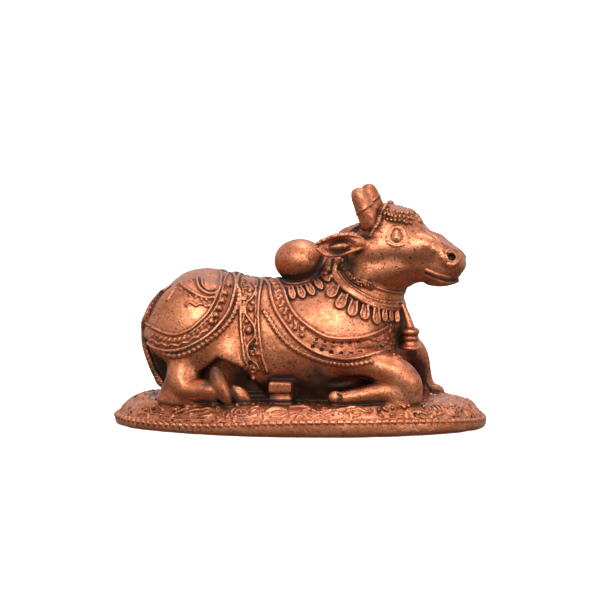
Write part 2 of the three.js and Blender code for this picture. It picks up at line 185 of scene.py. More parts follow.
def unevenness(spacing, height, seed):
    # gentle random lumps, one to every few millimetres, over the whole grid
    rng = np.random.default_rng(seed)
    coarse = np.ceil(gridSize * step / spacing).astype(int) + 2
    lumps = rng.normal(0, height, coarse).astype(np.float32)
    for axis in range(3):
        t = np.arange(gridSize[axis]) * step / spacing
        i = t.astype(int)
        f = t - i
        f = (f * f * (3 - 2 * f)).astype(np.float32)
        shape = [1, 1, 1]
        shape[axis] = -1
        f = f.reshape(shape)
        lumps = np.take(lumps, i, axis) * (1 - f) + np.take(lumps, i + 1, axis) * f
    return lumps


# Curves and lofts

def through(rows, count):
    # a smooth curve through rows of numbers
    rows = np.array(rows, float)
    ends = len(rows) - 1
    t = np.linspace(0, ends, count)
    i = np.minimum(t.astype(int), ends - 1)
    f = (t - i)[:, None]
    held = np.vstack([2 * rows[0] - rows[1], rows, 2 * rows[-1] - rows[-2]])
    a, b, c, d = held[i], held[i + 1], held[i + 2], held[i + 3]
    return (
        (2 * f**3 - 3 * f**2 + 1) * b
        + (f**3 - 2 * f**2 + f) * (c - a) / 2
        + (3 * f**2 - 2 * f**3) * c
        + (f**3 - f**2) * (d - b) / 2
    )


def evenly(points, spacing):
    # the same curve with its points at an even spacing
    lengths = np.concatenate([[0], np.cumsum(np.linalg.norm(np.diff(points, axis=0), axis=1))])
    count = max(int(round(lengths[-1] / spacing)), 2)
    wanted = np.linspace(0, lengths[-1], count + 1)
    return np.stack([np.interp(wanted, lengths, points[:, k]) for k in range(points.shape[1])], -1)


def skinned(rings):
    # a closed mesh over rings of points, with a middle point at each end
    count, sides = rings.shape[:2]
    points = np.vstack([rings.reshape(-1, 3), rings[0].mean(0), rings[-1].mean(0)])
    i = np.arange(count - 1)[:, None] * sides
    j = np.arange(sides)[None, :]
    k = (j + 1) % sides
    quads = np.stack([i + j, i + k, i + sides + k, i + sides + j], -1).reshape(-1, 4)
    j, k = j[0], k[0]
    last = (count - 1) * sides
    start = np.stack([np.full(sides, count * sides), k, j], -1)
    end = np.stack([np.full(sides, count * sides + 1), last + j, last + k], -1)
    return points, quads, np.vstack([start, end])


def figure(points):
    # heights of the figure are counted from the top of the base
    return np.asarray(points, float) + (0, 0, base["height"])


def uprightBody(rows, count=150, sides=160):
    # rows give the place along the figure, top, bottom, half the width and how square it is
    rings = []
    angle = np.linspace(0, 2 * math.pi, sides, endpoint=False)
    c, s = np.cos(angle), np.sin(angle)
    for x, top, bottom, halfWidth, square in through(rows, count):
        y = halfWidth * np.sign(c) * np.abs(c) ** (2 / square)
        z = (top + bottom) / 2 + (top - bottom) / 2 * np.sign(s) * np.abs(s) ** (2 / square)
        rings.append(np.stack([np.full(sides, x), y, z], -1))
    return skinned(figure(rings))


def limb(rows, count=90, sides=64, upward=(0, 0, 1)):
    # rows give a place, half the width and half the height
    rows = through(rows, count)
    centres = rows[:, :3]
    along = unit(np.gradient(centres, axis=0))
    side = unit(np.cross(np.broadcast_to(upward, along.shape), along))
    up = np.cross(along, side)
    angle = np.linspace(0, 2 * math.pi, sides, endpoint=False)[None, :, None]
    rings = (
        centres[:, None]
        + side[:, None] * rows[:, 3, None, None] * np.cos(angle)
        + up[:, None] * rows[:, 4, None, None] * np.sin(angle)
    )
    return skinned(figure(rings))


def egg(x, y, z, halfLength, halfWidth, halfHeight, pitch=0, yaw=0, sides=96):
    latitudes = np.linspace(-math.pi / 2, math.pi / 2, sides // 2 + 1)[1:-1, None]
    longitudes = np.linspace(0, 2 * math.pi, sides, endpoint=False)[None]
    ball = np.stack([
        halfLength * np.cos(latitudes) * np.cos(longitudes),
        halfWidth * np.cos(latitudes) * np.sin(longitudes),
        halfHeight * np.sin(latitudes) * np.ones_like(longitudes),
    ], -1)
    a, b = math.radians(pitch), math.radians(yaw)
    tip = np.array([[math.cos(a), 0, math.sin(a)], [0, 1, 0], [-math.sin(a), 0, math.cos(a)]])
    turn = np.array([[math.cos(b), -math.sin(b), 0], [math.sin(b), math.cos(b), 0], [0, 0, 1]])
    return skinned(figure(ball @ (turn @ tip).T + (x, y, z)))


def slab(outline, near, far):
    # an outline of places along and up, drawn out across the figure
    rings = np.array([[(x, y, z) for x, z in outline] for y in (near, far)])
    return skinned(figure(rings))


def mirrored(solid):
    points, quads, triangles = solid
    return points * (1, -1, 1), quads[:, ::-1], triangles[:, ::-1]


def turned(solid, degrees, pivot):
    points, quads, triangles = solid
    a = math.radians(degrees)
    c, s = math.cos(a), math.sin(a)
    x, y, z = points[:, 0] - pivot, points[:, 1], points[:, 2]
    return np.stack([pivot + x * c - y * s, x * s + y * c, z], -1), quads, triangles


# Relief is stamped on the skin as rounded boxes: a ball is one with no flat part

def stamp(grid, centres, radii, frames=None, flats=None):
    centres = np.asarray(centres, float)
    radii = np.broadcast_to(radii, len(centres)).astype(float)
    if frames is None:
        size = radii.max()
    else:
        flats = np.broadcast_to(flats, (len(centres), 3))
        size = (radii + np.linalg.norm(flats, axis=1)).max()
    spread = int(math.ceil((size + 0.5) / step))
    steps = np.arange(-spread, spread + 1)
    offsets = np.stack(np.meshgrid(steps, steps, steps, indexing="ij"), -1).reshape(-1, 3)
    flat = grid.reshape(-1)
    stride = np.array([gridSize[1] * gridSize[2], gridSize[2], 1])
    for first in range(0, len(centres), 1500):
        chunk = slice(first, first + 1500)
        middle = np.round(centres[chunk] / step).astype(int)
        index = np.clip(middle[:, None] + offsets - gridLow, 0, gridSize - 1)
        away = (index + gridLow) * step - centres[chunk][:, None]
        if frames is None:
            distance = np.sqrt((away**2).sum(-1)) - radii[chunk][:, None]
        else:
            local = np.abs(np.einsum("nmk,nkj->nmj", away, frames[chunk])) - flats[chunk][:, None]
            distance = np.linalg.norm(np.maximum(local, 0), axis=-1)
            distance = distance + np.minimum(local.max(-1), 0) - radii[chunk][:, None]
        np.minimum.at(flat, (index @ stride).reshape(-1), distance.reshape(-1).astype(np.float32))


# The camera's side of the bull. Ornament rows with two numbers are millimetres to the right
# and up as seen from there, and rows with three are places on the figure itself.

sideView = {"turn": 7.0, "rise": 6.5}  # degrees from square on, and above the horizon


def viewAxes():
    a, e = math.radians(sideView["turn"]), math.radians(sideView["rise"])
    right = np.array([math.cos(a), math.sin(a), 0])
    toward = np.array([math.sin(a) * math.cos(e), -math.cos(a) * math.cos(e), math.sin(e)])
    return right, np.cross(toward, right), toward


viewRight, viewUp, viewToward = viewAxes()


def fromSide(grid, rows):
    rows = np.atleast_2d(np.array(rows, float))
    starts = rows[:, :1] * viewRight + rows[:, 1:2] * viewUp + 70 * viewToward
    return trace(grid, starts, np.broadcast_to(-viewToward, starts.shape))


def onSkin(grid, rows, spacing=stroke):
    # a line on the skin through the rows, or the one place of a single row
    places = np.array([
        fromSide(grid, row)[0] if len(row) == 2 else settle(grid, figure([row]))[0] for row in rows
    ])
    missed = np.abs(sample(grid, places)) > 0.4
    if missed.any():
        print("rows off the skin:", [rows[i] for i in np.flatnonzero(missed)])
        places = places[~missed]
    if len(places) < 2:
        return places
    curve = through(places, 24 * len(places))
    return settle(grid, evenly(curve, spacing), 5)


def otherFlank(grid, points):
    # the same places as seen from the mirrored viewpoint on the other side
    mirror = np.array([1, -1, 1])
    starts = (points + viewToward * 30) * mirror
    found = trace(grid, starts, np.broadcast_to(-viewToward * mirror, starts.shape))
    astray = np.linalg.norm(found - points * mirror, axis=1) > 3.5
    missed = astray | (np.abs(sample(grid, found)) > 0.4)
    found[missed] = points[missed] * mirror
    return settle(grid, found)


# Big forms of the bull

thighFold = {"depth": (-24, -9.5), "outline": [
    (-21.2, 5.2), (-18.4, 7.6), (-16, 9.6), (-14.2, 9), (-12.4, 8.2), (-10.2, 7.2), (-9.2, 5.4), (-7.6, 3.7),
    (-6.3, 1.5), (-21, 1.5),
]}
tailHollow = {"depth": (-24, -5.5), "outline": [
    (-31.6, 12.6), (-29.6, 9.9), (-27.1, 8.3), (-26.5, 7.3), (-27, 5.1), (-27.7, 4), (-28.6, 2), (-37, 2),
    (-37, 12.6),
]}


def shapeBody(skin):
    join(skin, uprightBody([
        [-32.6, 14.5, 9, 1.5, 2],
        [-32, 17, 5, 5, 2],
        [-30.8, 20.2, 2, 8.3, 2.1],
        [-28.6, 23.3, 0.5, 11, 2.2],
        [-25, 26.1, -2, 12.9, 2.3],
        [-20, 27, -3, 13.6, 2.3],
        [-15, 26.1, -4, 13.8, 2.2],
        [-8, 24.9, -4, 14, 2.2],
        [-1, 25.2, -4, 14.2, 2.2],
        [6, 26.4, -4, 14.2, 2.2],
        [12, 25.5, -3, 13.5, 2.2],
        [16.4, 23, -2, 11.8, 2.1],
        [18.8, 20.5, -1, 9.8, 2.1],
        [20.4, 17.5, 0, 7.2, 2],
        [21.4, 13.5, 3, 3.5, 2],
    ]), 1)
    join(skin, neckForm(), 1.6)
    join(skin, egg(8.8, 0, 27.2, 5, 5.6, 4.3), 0.9)
    join(skin, egg(17, 0, 7, 4, 7, 9, -4), 1.2)
    for side in (-1, 1):
        join(skin, egg(-21.6, side * 8.3, 13.2, 11.1, 8.5, 12.9, 14, side * -6), 1)
        join(skin, egg(-14.5, side * 9, 8.6, 8, 7, 8.6, -14, side * -10), 1)
    join(skin, egg(0.2, 0, 28.75, 5.85, 4.7, 4.95, 14), 0.5)
    # under the belly, behind the tail and at the fold of the thigh the form falls back
    under = limb([[-13, -15.2, 0.8, 4, 2.8], [0, -15.4, 1.2, 4.2, 3], [11, -15.2, 0.8, 4, 2.8]])
    carve(skin, under, 1.2)
    carve(skin, mirrored(under), 1.2)
    carve(skin, slab(tailHollow["outline"], *tailHollow["depth"]), 1.3)
    carve(skin, slab(thighFold["outline"], *thighFold["depth"]), 0.7)
    join(skin, egg(21.2, -1.6, 16.6, 1.7, 3, 3.6), 0.8)
    # between the forelegs the chest falls back, with a soft ridge down its middle
    carve(skin, egg(26.3, -1, 3.5, 6, 13, 9.5), 1.5)
    join(skin, egg(19, 0, 7.5, 2, 3, 7), 1.6)


def neckForm(count=80, sides=140):
    # rows give the place along and up, half the length and width, and the fall of its front
    rows = through([
        [5, 11, 12.5, 12, 20],
        [11, 18.5, 10.8, 10.6, 28],
        [14.6, 23.7, 8.8, 8.7, 33],
        [16.1, 28, 7.5, 7.5, 33],
        [16.8, 33, 5.6, 6, 33],
    ], count)
    angle = np.linspace(0, 2 * math.pi, sides, endpoint=False)
    rings = []
    for x, z, halfLength, halfWidth, fall in rows:
        tilt = math.radians(fall)
        along = halfLength * np.cos(angle)
        side = halfWidth * np.sin(angle)
        rings.append(np.stack([x + along * math.cos(tilt), side, z - along * math.sin(tilt)], -1))
    return skinned(figure(rings))


def shapeLegs(skin):
    # near hind leg: thigh to hock, then the cannon along the base
    join(skin, limb([
        [-20, -9, 14.5, 4.5, 5],
        [-23.4, -13, 8.6, 3.1, 3.2],
        [-24.2, -14.6, 5, 2.7, 2.9],
        [-22.6, -15.6, 2.9, 2.6, 2.9],
        [-19, -16.2, 2.7, 2.6, 3],
        [-15.5, -16.6, 2.4, 2.3, 2.7],
    ], upward=(0.2, -1, 0.1)), 0.7)
    join(skin, limb([
        [-23.2, -13.4, 8.4, 3, 3],
        [-23.4, -14.6, 5, 2.6, 3.6],
        [-23.9, -15, 2.6, 2.4, 4.2],
        [-24.3, -15.2, 0.7, 2.4, 4.8],
        [-24.4, -15.2, -0.4, 2.2, 4.8],
    ], upward=(1, 0, 0)), 0.8)
    join(skin, limb([
        [-16.6, -17.2, 7.9, 0.6, 0.6],
        [-16, -17.5, 6.3, 1.5, 1.6],
        [-15.2, -17.7, 4, 1.8, 1.9],
        [-14.1, -17.7, 1.9, 1.5, 1.6],
        [-13.3, -17.6, 0.3, 0.9, 0.9],
        [-13, -17.6, -0.5, 0.5, 0.5],
    ], upward=(1, 0, 0)), 0.12)
    join(skin, limb([
        [-12.9, -15.7, 3.9, 0.5, 0.5],
        [-12.2, -15.8, 2.8, 1.4, 1.2],
        [-10.6, -15.9, 1.3, 1.7, 1.5],
        [-9.2, -15.9, 0.4, 1.2, 0.9],
        [-8.4, -15.9, 0, 0.5, 0.5],
    ], upward=(0, -1, 0)), 0.12)
    # the gap between the haunch and the tail
    carve(skin, egg(-29.4, -12.6, 5.9, 3.7, 4.2, 1.5, -60), 0.4)
    # far hind foot, tucked under the belly: a block over thin plates
    foot = [((-2.25, -14.6, 3.7), (2.3, 3, 0.95)), ((-2.25, -14.5, 2.1), (2.15, 2.7, 0.18)),
            ((-2.25, -14.6, 1.2), (2.3, 2.85, 0.3)), ((-2.25, -14.5, 0.2), (2.3, 2.8, 0.3))]
    for centre, half in foot:
        stamp(skin, figure([centre]), 0.22, np.eye(3)[None], half)
    # near foreleg: arm and forearm to the knee, then the cannon folded back
    join(skin, limb([
        [5, -5, 10, 5, 4.4],
        [12, -10.6, 9, 4.8, 3.9],
        [17.4, -12.8, 8.3, 4.2, 3.6],
        [21.4, -13.8, 6.9, 3.6, 3.7],
        [24.3, -14.3, 4.4, 3, 3.6],
        [25.2, -14.2, 0.2, 2.4, 2.6],
    ]), 1)
    carve(skin, egg(11.2, -16.4, 4.3, 6.9, 4.6, 1.9, -6), 0.4)
    join(skin, limb([
        [23.6, -14.6, 2.4, 2.4, 2.6],
        [19, -15.4, 2.5, 2.3, 2.5],
        [15, -15.8, 2, 2, 1.9],
        [12, -16, 1.5, 1.8, 1.7],
        [10.4, -16.1, 1.3, 1.6, 1.5],
    ]), 0.35)
    join(skin, limb([
        [22.3, -14.4, 5.4, 2.7, 2.9],
        [22.3, -14.7, 2.5, 2.7, 3],
        [22.4, -14.9, -0.4, 2.7, 3.2],
    ], upward=(1, 0, 0)), 0.7)
    join(skin, egg(9.6, -16.2, 1.5, 1.8, 1.45, 1.6, 20), 0.1)
    # far foreleg, set forwards on its hoof
    join(skin, limb([
        [14, 6, 9, 4.6, 4.8],
        [20, 7.4, 9.8, 4, 4.1],
        [22.9, 8.2, 8.6, 3.1, 3.4],
        [24.6, 8.6, 6.2, 2.2, 2.5],
        [25.8, 8.7, 3.2, 1.6, 1.7],
        [26.6, 8.8, -0.4, 2, 2.2],
    ], upward=(0.6, 0, 0.8)), 0.9)
    join(skin, egg(27.6, 8.8, 0.6, 2.6, 2.1, 1.5, 10), 0.3)


headTurn = {"degrees": -6, "pivot": 13}  # towards the near flank


def turnHead(solid):
    return turned(solid, headTurn["degrees"], headTurn["pivot"])


def turnedPlaces(rows):
    # the same turn for places
    return turned((np.array(rows, float), None, None), headTurn["degrees"], headTurn["pivot"])[0]


def shapeHead(head):
    join(head, turnHead(uprightBody([
        [9.9, 34, 31.9, 2, 2],
        [10.8, 36.1, 29.2, 4.8, 2.1],
        [13, 37.4, 26.8, 6.3, 2.2],
        [15.5, 38.9, 24.6, 6.8, 2.2],
        [18.5, 40.5, 23.2, 6.9, 2.2],
        [21, 40.6, 23, 6.5, 2.2],
        [23.5, 39.9, 23.8, 5.8, 2.3],
        [25.5, 38.4, 24.8, 5.1, 2.5],
        [28, 36, 25, 4.5, 2.6],
        [30.5, 34.4, 24.6, 4.2, 2.6],
        [32.6, 33.1, 25, 4.2, 2.4],
        [34.4, 32, 26.3, 3.7, 2.3],
        [35.4, 30.9, 27.4, 2.8, 2.1],
        [35.9, 29.6, 28.3, 1.4, 2],
    ])), 0.5)
    join(head, turnHead(egg(21.6, 0, 39.2, 4.6, 5, 1.8, 20)), 1)  # curls over the brow
    join(head, turnHead(egg(30.8, 0, 25.4, 3.9, 3.3, 1.2, -4)), 0.2)  # lower lip
    for side in (-1, 1):
        join(head, turnHead(egg(16.8, side * 4.5, 28.6, 6.2, 3, 5.4, -18)), 0.9)  # cheek
        join(head, turnHead(egg(33, side * 3.1, 30.4, 2, 1.5, 1.8, 20)), 0.8)  # nostril wing
        join(head, turnHead(hornForm(side)), 0.12)
        join(head, turnHead(limb(earRows(side))), 0.3)
        carve(head, turnHead(egg(10.6, side * 10.85, 33.6, 4.1, 1.7, 1.9, 4, side * -20)), 0.15)


def hornForm(side):
    slim = 1 if side < 0 else 0.9
    return limb([
        [x, side * y, z, radius * slim, radius * slim] for x, y, z, radius in [
            (16.2, 4.3, 36.2, 1.1),
            (16, 4.4, 37.2, 1.9),
            (15.6, 4.4, 39.4, 2.2),
            (14.8, 4.5, 41.3, 2.15),
            (14, 4.5, 43.2, 2),
            (13.55, 4.5, 44.5, 1.65),
            (13.4, 4.5, 45.1, 1.2),
            (13.35, 4.5, 45.35, 0.4),
        ]
    ], upward=(1, 0, 0))


def earRows(side):
    return [
        [16, side * 5.6, 33.6, 0.9, 0.9],
        [13.6, side * 7.6, 34, 1.1, 2],
        [10.6, side * 9.2, 33.6, 1.3, 2.6],
        [7.8, side * 10.2, 33.2, 1.1, 2.1],
        [6, side * 10.7, 33.4, 0.8, 1],
    ]


def rimTop(x):
    return np.interp(x, *np.array(base["rimLine"]).T)


def oval(angle, inset):
    # along and across, on the base's outline moved in by the inset
    return (base["halfLength"] - inset) * np.cos(angle), (base["halfWidth"] - inset) * np.sin(angle)


def ovalRing(inset, share, onSlope, sides=360):
    x, y = oval(np.linspace(0, 2 * math.pi, sides, endpoint=False), inset)
    rim = rimTop(x)
    z = rim + (base["height"] - rim) * share if onSlope else rim * share
    return np.stack([x, y, z], -1)


def shapeBase(skin):
    rings = [ovalRing(inset, share, False) for inset, share in through(base["rim"], 16)]
    rings += [ovalRing(inset, share, True) for inset, share in through(base["slope"], 26)]
    join(skin, skinned(np.array(rings)), 0.4)
    for rows in base["ledges"]:
        join(skin, limb([[*row, *base["ledgeSize"]] for row in rows]), 0.9)


skin = emptyGrid()
shapeBody(skin)
shapeLegs(skin)
print("body and legs shaped")
head = emptyGrid()
shapeHead(head)
skin = smoothJoin(skin, head, 0.4)
del head
print("head shaped")
baseSkin = emptyGrid()
shapeBase(baseSkin)
skin = smoothJoin(skin, baseSkin, 0.5)
skin = softened(skin, 2) + unevenness(2.6, 0.05, 3) + unevenness(1.0, 0.018, 5)
print("base shaped")


# Softer forms of the face, placed as seen from the camera's side

faceForms = [  # the ridge's line, radius, height and blend
    ([[15.3, 37.5], [17.7, 37.8], [20.3, 37.7], [22.9, 37.4], [25.2, 37.7], [27.4, 38.3]], 2.6, 0.42, 1.3),
    ([[27.1, 39.7], [28.6, 39], [30.2, 38]], 1.9, 0.35, 1),
    ([[15, 32], [17, 31.9], [19, 32.1], [21, 32.9]], 3, 0.2, 1.4),
]


def otherCheek(points):
    # the same places on the far cheek, mirrored along the turned head
    straight = turned((points, None, None), -headTurn["degrees"], headTurn["pivot"])[0]
    return settle(skin, turnedPlaces(straight * (1, -1, 1)))


def swell(rows, radius, height, blend):
    # raises a soft ridge on both cheeks
    line = onSkin(skin, rows, 0.4)
    form = emptyGrid()
    for places in (line, otherCheek(line)):
        stamp(form, places - outwards(skin, places) * (radius - height), radius)
    skin[...] = smoothJoin(skin, form, blend)


for ridge in faceForms:
    swell(*ridge)
print("face shaped")


# Ornament tools. Everything is laid on the skin and gathered in two grids: what stands
# proud, and what is cut in.

proud = emptyGrid()
cuts = emptyGrid()


def lay(points, radius, lift=0.0):
    stamp(proud, points + outwards(skin, points) * lift, radius)


def cutIn(points, radius, lift=0.0):
    stamp(cuts, points + outwards(skin, points) * lift, radius)


def lengthwise(points):
    return unit(np.gradient(points, axis=0))


def cord(points, radius, lift=0.0):
    lay(points, radius, lift)


def spots(rows):
    # single places on the skin, one to a row
    return np.vstack([onSkin(skin, [row]) for row in rows])


tail = {
    "thickness": 1.5,
    "twist": 0.95,  # mm from one turn of the twist to the next
    "rounding": 0.22,  # mm, of the bars that make the twist
    # across and up on the rump from behind, then places on the figure down to the haunch's foot
    "upper": [[-5.5, 23.6], [-7.6, 22], [-9.2, 20], [-9.8, 18], [-9.4, 16.2]],
    "lower": [[-32.66, -8.2, 14.6], [-32.5, -8.8, 12], [-31.9, -9.4, 9.95], [-30.9, -10.1, 7.5],
              [-29.9, -10.9, 5.6], [-28.3, -12, 3.6], [-27.3, -12.8, 2], [-26.6, -13.4, 0.3]],
}


def tailCord():
    # the tail lies on the rump, then hangs free beside the haunch down to the base
    behind = figure([[-39, *row] for row in tail["upper"]])
    upper = trace(skin, behind, np.broadcast_to((1.0, 0.0, 0.0), behind.shape))
    upper = upper + outwards(skin, upper) * 0.3
    path = evenly(through(np.vstack([upper, figure(tail["lower"])]), 300), stroke)
    for _ in range(30):
        path[1:-1] = (path[:-2] + 2 * path[1:-1] + path[2:]) / 4
    radius = tail["thickness"] / 2
    stamp(proud, path, radius * np.clip(0.4 + np.arange(len(path)) / 30, 0, 1))
    # slanted bars round it make the twist
    rings = evenly(path, tail["twist"])[3:]
    along = lengthwise(rings)
    toward = np.broadcast_to(viewToward, along.shape)
    aside = unit(np.cross(toward, along))
    slanted = unit(aside + along * 1.1)
    frames = np.stack([slanted, unit(np.cross(toward, slanted)), toward], -1)
    half = (radius - tail["rounding"], 0.02, radius - 0.16)
    stamp(proud, rings, tail["rounding"], frames, half)


def boxFrames(points, slant=0.0):
    # along the row, across it and off the skin
    off = outwards(skin, points)
    along = unit(lengthwise(points) - off * (lengthwise(points) * off).sum(-1, keepdims=True))
    across = np.cross(off, along)
    a = math.radians(slant)
    turnedAlong = along * math.cos(a) + across * math.sin(a)
    return np.stack([turnedAlong, np.cross(off, turnedAlong), off], -1)


def barsAlong(points, pitch, length, width, height, slant=0.0, lift=0.1):
    # short rounded bars side by side, as in a twisted rope
    places = evenly(points, pitch)
    frames = boxFrames(places, slant)
    rounding = 0.45 * min(length, width, height)
    flats = np.array([length, width, height]) / 2 - rounding
    stamp(proud, places + frames[:, :, 2] * lift, rounding, frames, np.maximum(flats, 0.01))


def drop(top, bottom, width, lift=0.0, narrow=0.3, count=14):
    # a drop from its narrow top to its round bottom
    share = np.linspace(0, 1, count)[:, None]
    places = settle(skin, top * (1 - share) + bottom * share, 3)
    full = np.sin(np.clip(share[:, 0] * 0.62 + 0.05, 0, 1) * math.pi) ** 0.9
    radii = width / 2 * np.maximum(full, narrow)
    stamp(proud, places + outwards(skin, places) * (lift - radii[:, None] * 0.45), radii)


def leaf(start, end, width, bend=0.0, lift=0.05, count=16):
    # a leaf pointed at both ends, bent to one side
    share = np.linspace(0, 1, count)
    along = end - start
    off = outwards(skin, ((start + end) / 2)[None])[0]
    side = unit(np.cross(off, along))
    places = start + along * share[:, None] + side * (bend * np.sin(share * math.pi))[:, None]
    places = settle(skin, places, 3)
    radii = width / 2 * np.maximum(np.sin(share * math.pi) ** 0.8, 0.28)
    centres = places + outwards(skin, places) * (lift - radii[:, None] * 0.35)
    stamp(proud, centres, radii)


def curl(centre, size, turns, radius, start=0.0, hand=1, lift=0.05):
    # a small scroll that winds in to its middle
    off = outwards(skin, centre[None])[0]
    across = unit(np.cross((0, 0, 1), off))
    up = np.cross(off, across)
    count = max(int(size * turns * 6.3 / 0.16), 12)
    share = np.linspace(0, 1, count)
    angle = math.radians(start) + hand * share * turns * 2 * math.pi
    reachOut = size * (1 - 0.8 * share)
    places = centre + across * (reachOut * np.cos(angle))[:, None] + up * (reachOut * np.sin(angle))[:, None]
    lay(settle(skin, places, 3), radius, lift)


class Band:
    # the strip of skin between two edge lines, with places by shares along and across
    def __init__(self, first, second, count=220):
        self.first = self.spread(first, count)
        self.second = self.spread(second, count)

    @staticmethod
    def spread(line, count):
        t = np.linspace(0, len(line) - 1, count)
        return np.stack([np.interp(t, np.arange(len(line)), line[:, k]) for k in range(3)], -1)

    def at(self, along, across):
        along, across = np.broadcast_arrays(np.atleast_1d(along).astype(float), across)
        t = np.clip(along, 0, 1) * (len(self.first) - 1)
        rows = np.arange(len(self.first))
        a = np.stack([np.interp(t, rows, self.first[:, k]) for k in range(3)], -1)
        b = np.stack([np.interp(t, rows, self.second[:, k]) for k in range(3)], -1)
        return settle(skin, a + (b - a) * across[:, None], 4)


# Shoulder band: two cords from the back round to the chest, with leaves and square pits
# between them, and a twisted rope outside

shoulder = {"cord": 0.42, "fineCord": 0.16, "rope": 1.15, "ropeCore": 0.5, "ropePitch": 1.05}

shoulderInner = onSkin(skin, [
    [-5.2, 0, 25], [-3.6, 28.9], [-2.8, 26.4], [-1.4, 23.9], [0.5, 22], [2.7, 20.4], [5.2, 19],
    [7.9, 18.5], [10.6, 18.5], [13.4, 18.8], [16.1, 19.7], [18.4, 21],
])
shoulderOuter = onSkin(skin, [
    [-8.2, 0, 25], [-6.7, 29.7], [-6.3, 27.5], [-5.5, 25], [-4.1, 22.6], [-2.5, 20.4], [-0.9, 18.5],
    [1.6, 16.6], [4.4, 15.2], [7.4, 14.4], [10.1, 14.1], [12.8, 14.4], [15.2, 15], [17.4, 15.7],
    [19.2, 16.4],
])
upperPits = [[3.4, 18.3], [5.2, 17.8], [7, 17.6], [8.8, 17.5], [10.5, 17.6], [12.3, 17.8]]
lowerPits = [[2.6, 16.8], [4.5, 16.1], [6.5, 15.6], [8.6, 15.4], [10.7, 15.4], [12.7, 15.8], [14.6, 16.5]]
chestStrand = [[18.9, 22], [19.4, 20.4], [19.7, 18.8], [19.9, 17.2], [20.2, 15.7], [20.7, 14.6]]
shoulderRope = onSkin(skin, [
    [-7.7, 24.2], [-6.3, 22], [-5, 20], [-3, 17.7], [-0.9, 16.1], [1.3, 15], [3.5, 14.1], [6.3, 13.3],
    [9.5, 12.9], [12.3, 13.1], [15, 13.6],
])


def shoulderBand(inner, outer, rope, rich, across):
    band = Band(inner, outer)
    for line in (inner, outer):
        cord(line, shoulder["cord"], 0.12)
    for share in (0.13, 0.87):
        cord(band.at(np.linspace(0, 1, 500), share), shoulder["fineCord"], 0.1)
    cord(rope, shoulder["ropeCore"], -0.15)
    barsAlong(rope, shoulder["ropePitch"], 0.62, shoulder["rope"], 0.75, slant=28, lift=0.06)
    # two rows of pits over the shoulder, each with a raised lip below
    for rows, size in ((upperPits, 0.26), (lowerPits, 0.34)):
        pits = across(spots(rows))
        cutIn(pits, size, -0.02)
        cutIn(pits + (size * 0.5, 0, 0), size * 0.8, 0.0)
        lay(settle(skin, pits - (0, 0, 0.5)), 0.3, -0.02)
    if rich:
        # crumbs at the band's end, and a rough strand down the chest
        rng = np.random.default_rng(21)
        crumbs = band.at(rng.uniform(0.86, 1, 26), rng.uniform(0.15, 0.85, 26))
        lay(crumbs, rng.uniform(0.2, 0.36, 26), 0.0)
        strand = np.repeat(onSkin(skin, chestStrand, 0.32), 3, 0)
        lumps = settle(skin, strand + rng.normal(0, 0.45, strand.shape))
        lay(lumps, rng.uniform(0.2, 0.5, len(strand)), -0.08)
        cutIn(settle(skin, strand[::2] + rng.normal(0, 0.6, strand[::2].shape)), 0.16, 0.1)
    # leaves in pairs up to the back
    pairs = 10 if rich else 8
    for i in range(pairs):
        t = 0.03 + 0.42 * i / (pairs - 1)
        a, b, c = band.at([t, t + 0.028, t + 0.008], [0.26, 0.5, 0.76])
        leaf(a, b, 0.95, lift=0.12)
        leaf(b, c, 1.0, lift=0.12)
        lay(band.at(t + 0.022, 0.25), 0.32, 0.05)


# Girth band: a pair of cords round the body with a vine between them

girth = {
    "cord": 0.36,
    "fineCord": 0.2,
    "vine": 0.3,
    "curl": 0.95,
    "boss": 0.6,
    "largeBoss": 0.85,
    "pit": 0.45,
}

girthBack = onSkin(skin, [
    [-13.4, 0, 25.6], [-13.6, 30], [-12.9, 28.2], [-12.8, 26.4], [-12.8, 22.6], [-12.6, 19],
    [-12.3, 16.3], [-11.8, 13.6], [-10.8, 10.2],
])
girthFront = onSkin(skin, [
    [-8.6, 0, 25], [-8.3, 30.4], [-8.8, 27.5], [-9, 24.2], [-8.9, 20.9], [-8.6, 17.7], [-8.1, 14.4],
    [-7.1, 11.4],
])
vineLine = [
    [-10.4, 30.4], [-9.5, 28.9], [-10.4, 27.1], [-11.6, 25.9], [-11.7, 23.9], [-10.8, 22.4],
    [-9.8, 20.9], [-9.8, 18.8], [-11.1, 17.3], [-11.5, 15.6], [-10.7, 13.9], [-9.5, 13.2],
    [-8.9, 11.9],
]
vineCurls = [[-11.1, 20.2], [-10.2, 15.6], [-10, 11.9]]
vinePits = [[-10.5, 16.5], [-10.7, 13.4]]
vineBosses = [
    [-10.8, 28.6], [-10.2, 26], [-10.6, 24.6], [-11.1, 20.2], [-9.1, 15.2], [-9.4, 17.3], [-10.1, 10],
    [-11.6, 22], [-9.2, 23.1],
]


def girthBand(back, front, rich):
    band = Band(back, front)
    for line, inside in ((back, 0.17), (front, 0.83)):
        cord(line, girth["cord"], 0.15)
        cord(band.at(np.linspace(0.03, 1, 420), inside), girth["fineCord"], 0.08)
    if rich:
        cord(onSkin(skin, vineLine), girth["vine"], 0.12)
        for row, hand in zip(vineCurls, (1, -1, 1)):
            curl(spots([row])[0], girth["curl"], turns=1.1, radius=0.24, start=120, hand=hand)
        lay(spots(vineBosses), girth["boss"])
        lay(spots(vineCurls[:1]), girth["largeBoss"])
        cutIn(spots(vinePits), girth["pit"], 0.1)
    else:
        # a plain wave on the far flank
        wave = np.linspace(0.05, 0.95, 260)
        cord(band.at(wave, 0.5 + 0.2 * np.sin(wave * 26)), girth["vine"], 0.1)
        bosses = np.arange(0.1, 0.95, 0.12)
        lay(band.at(bosses, 0.5 - 0.16 * np.sin(bosses * 26)), girth["boss"] * 0.8, -0.05)


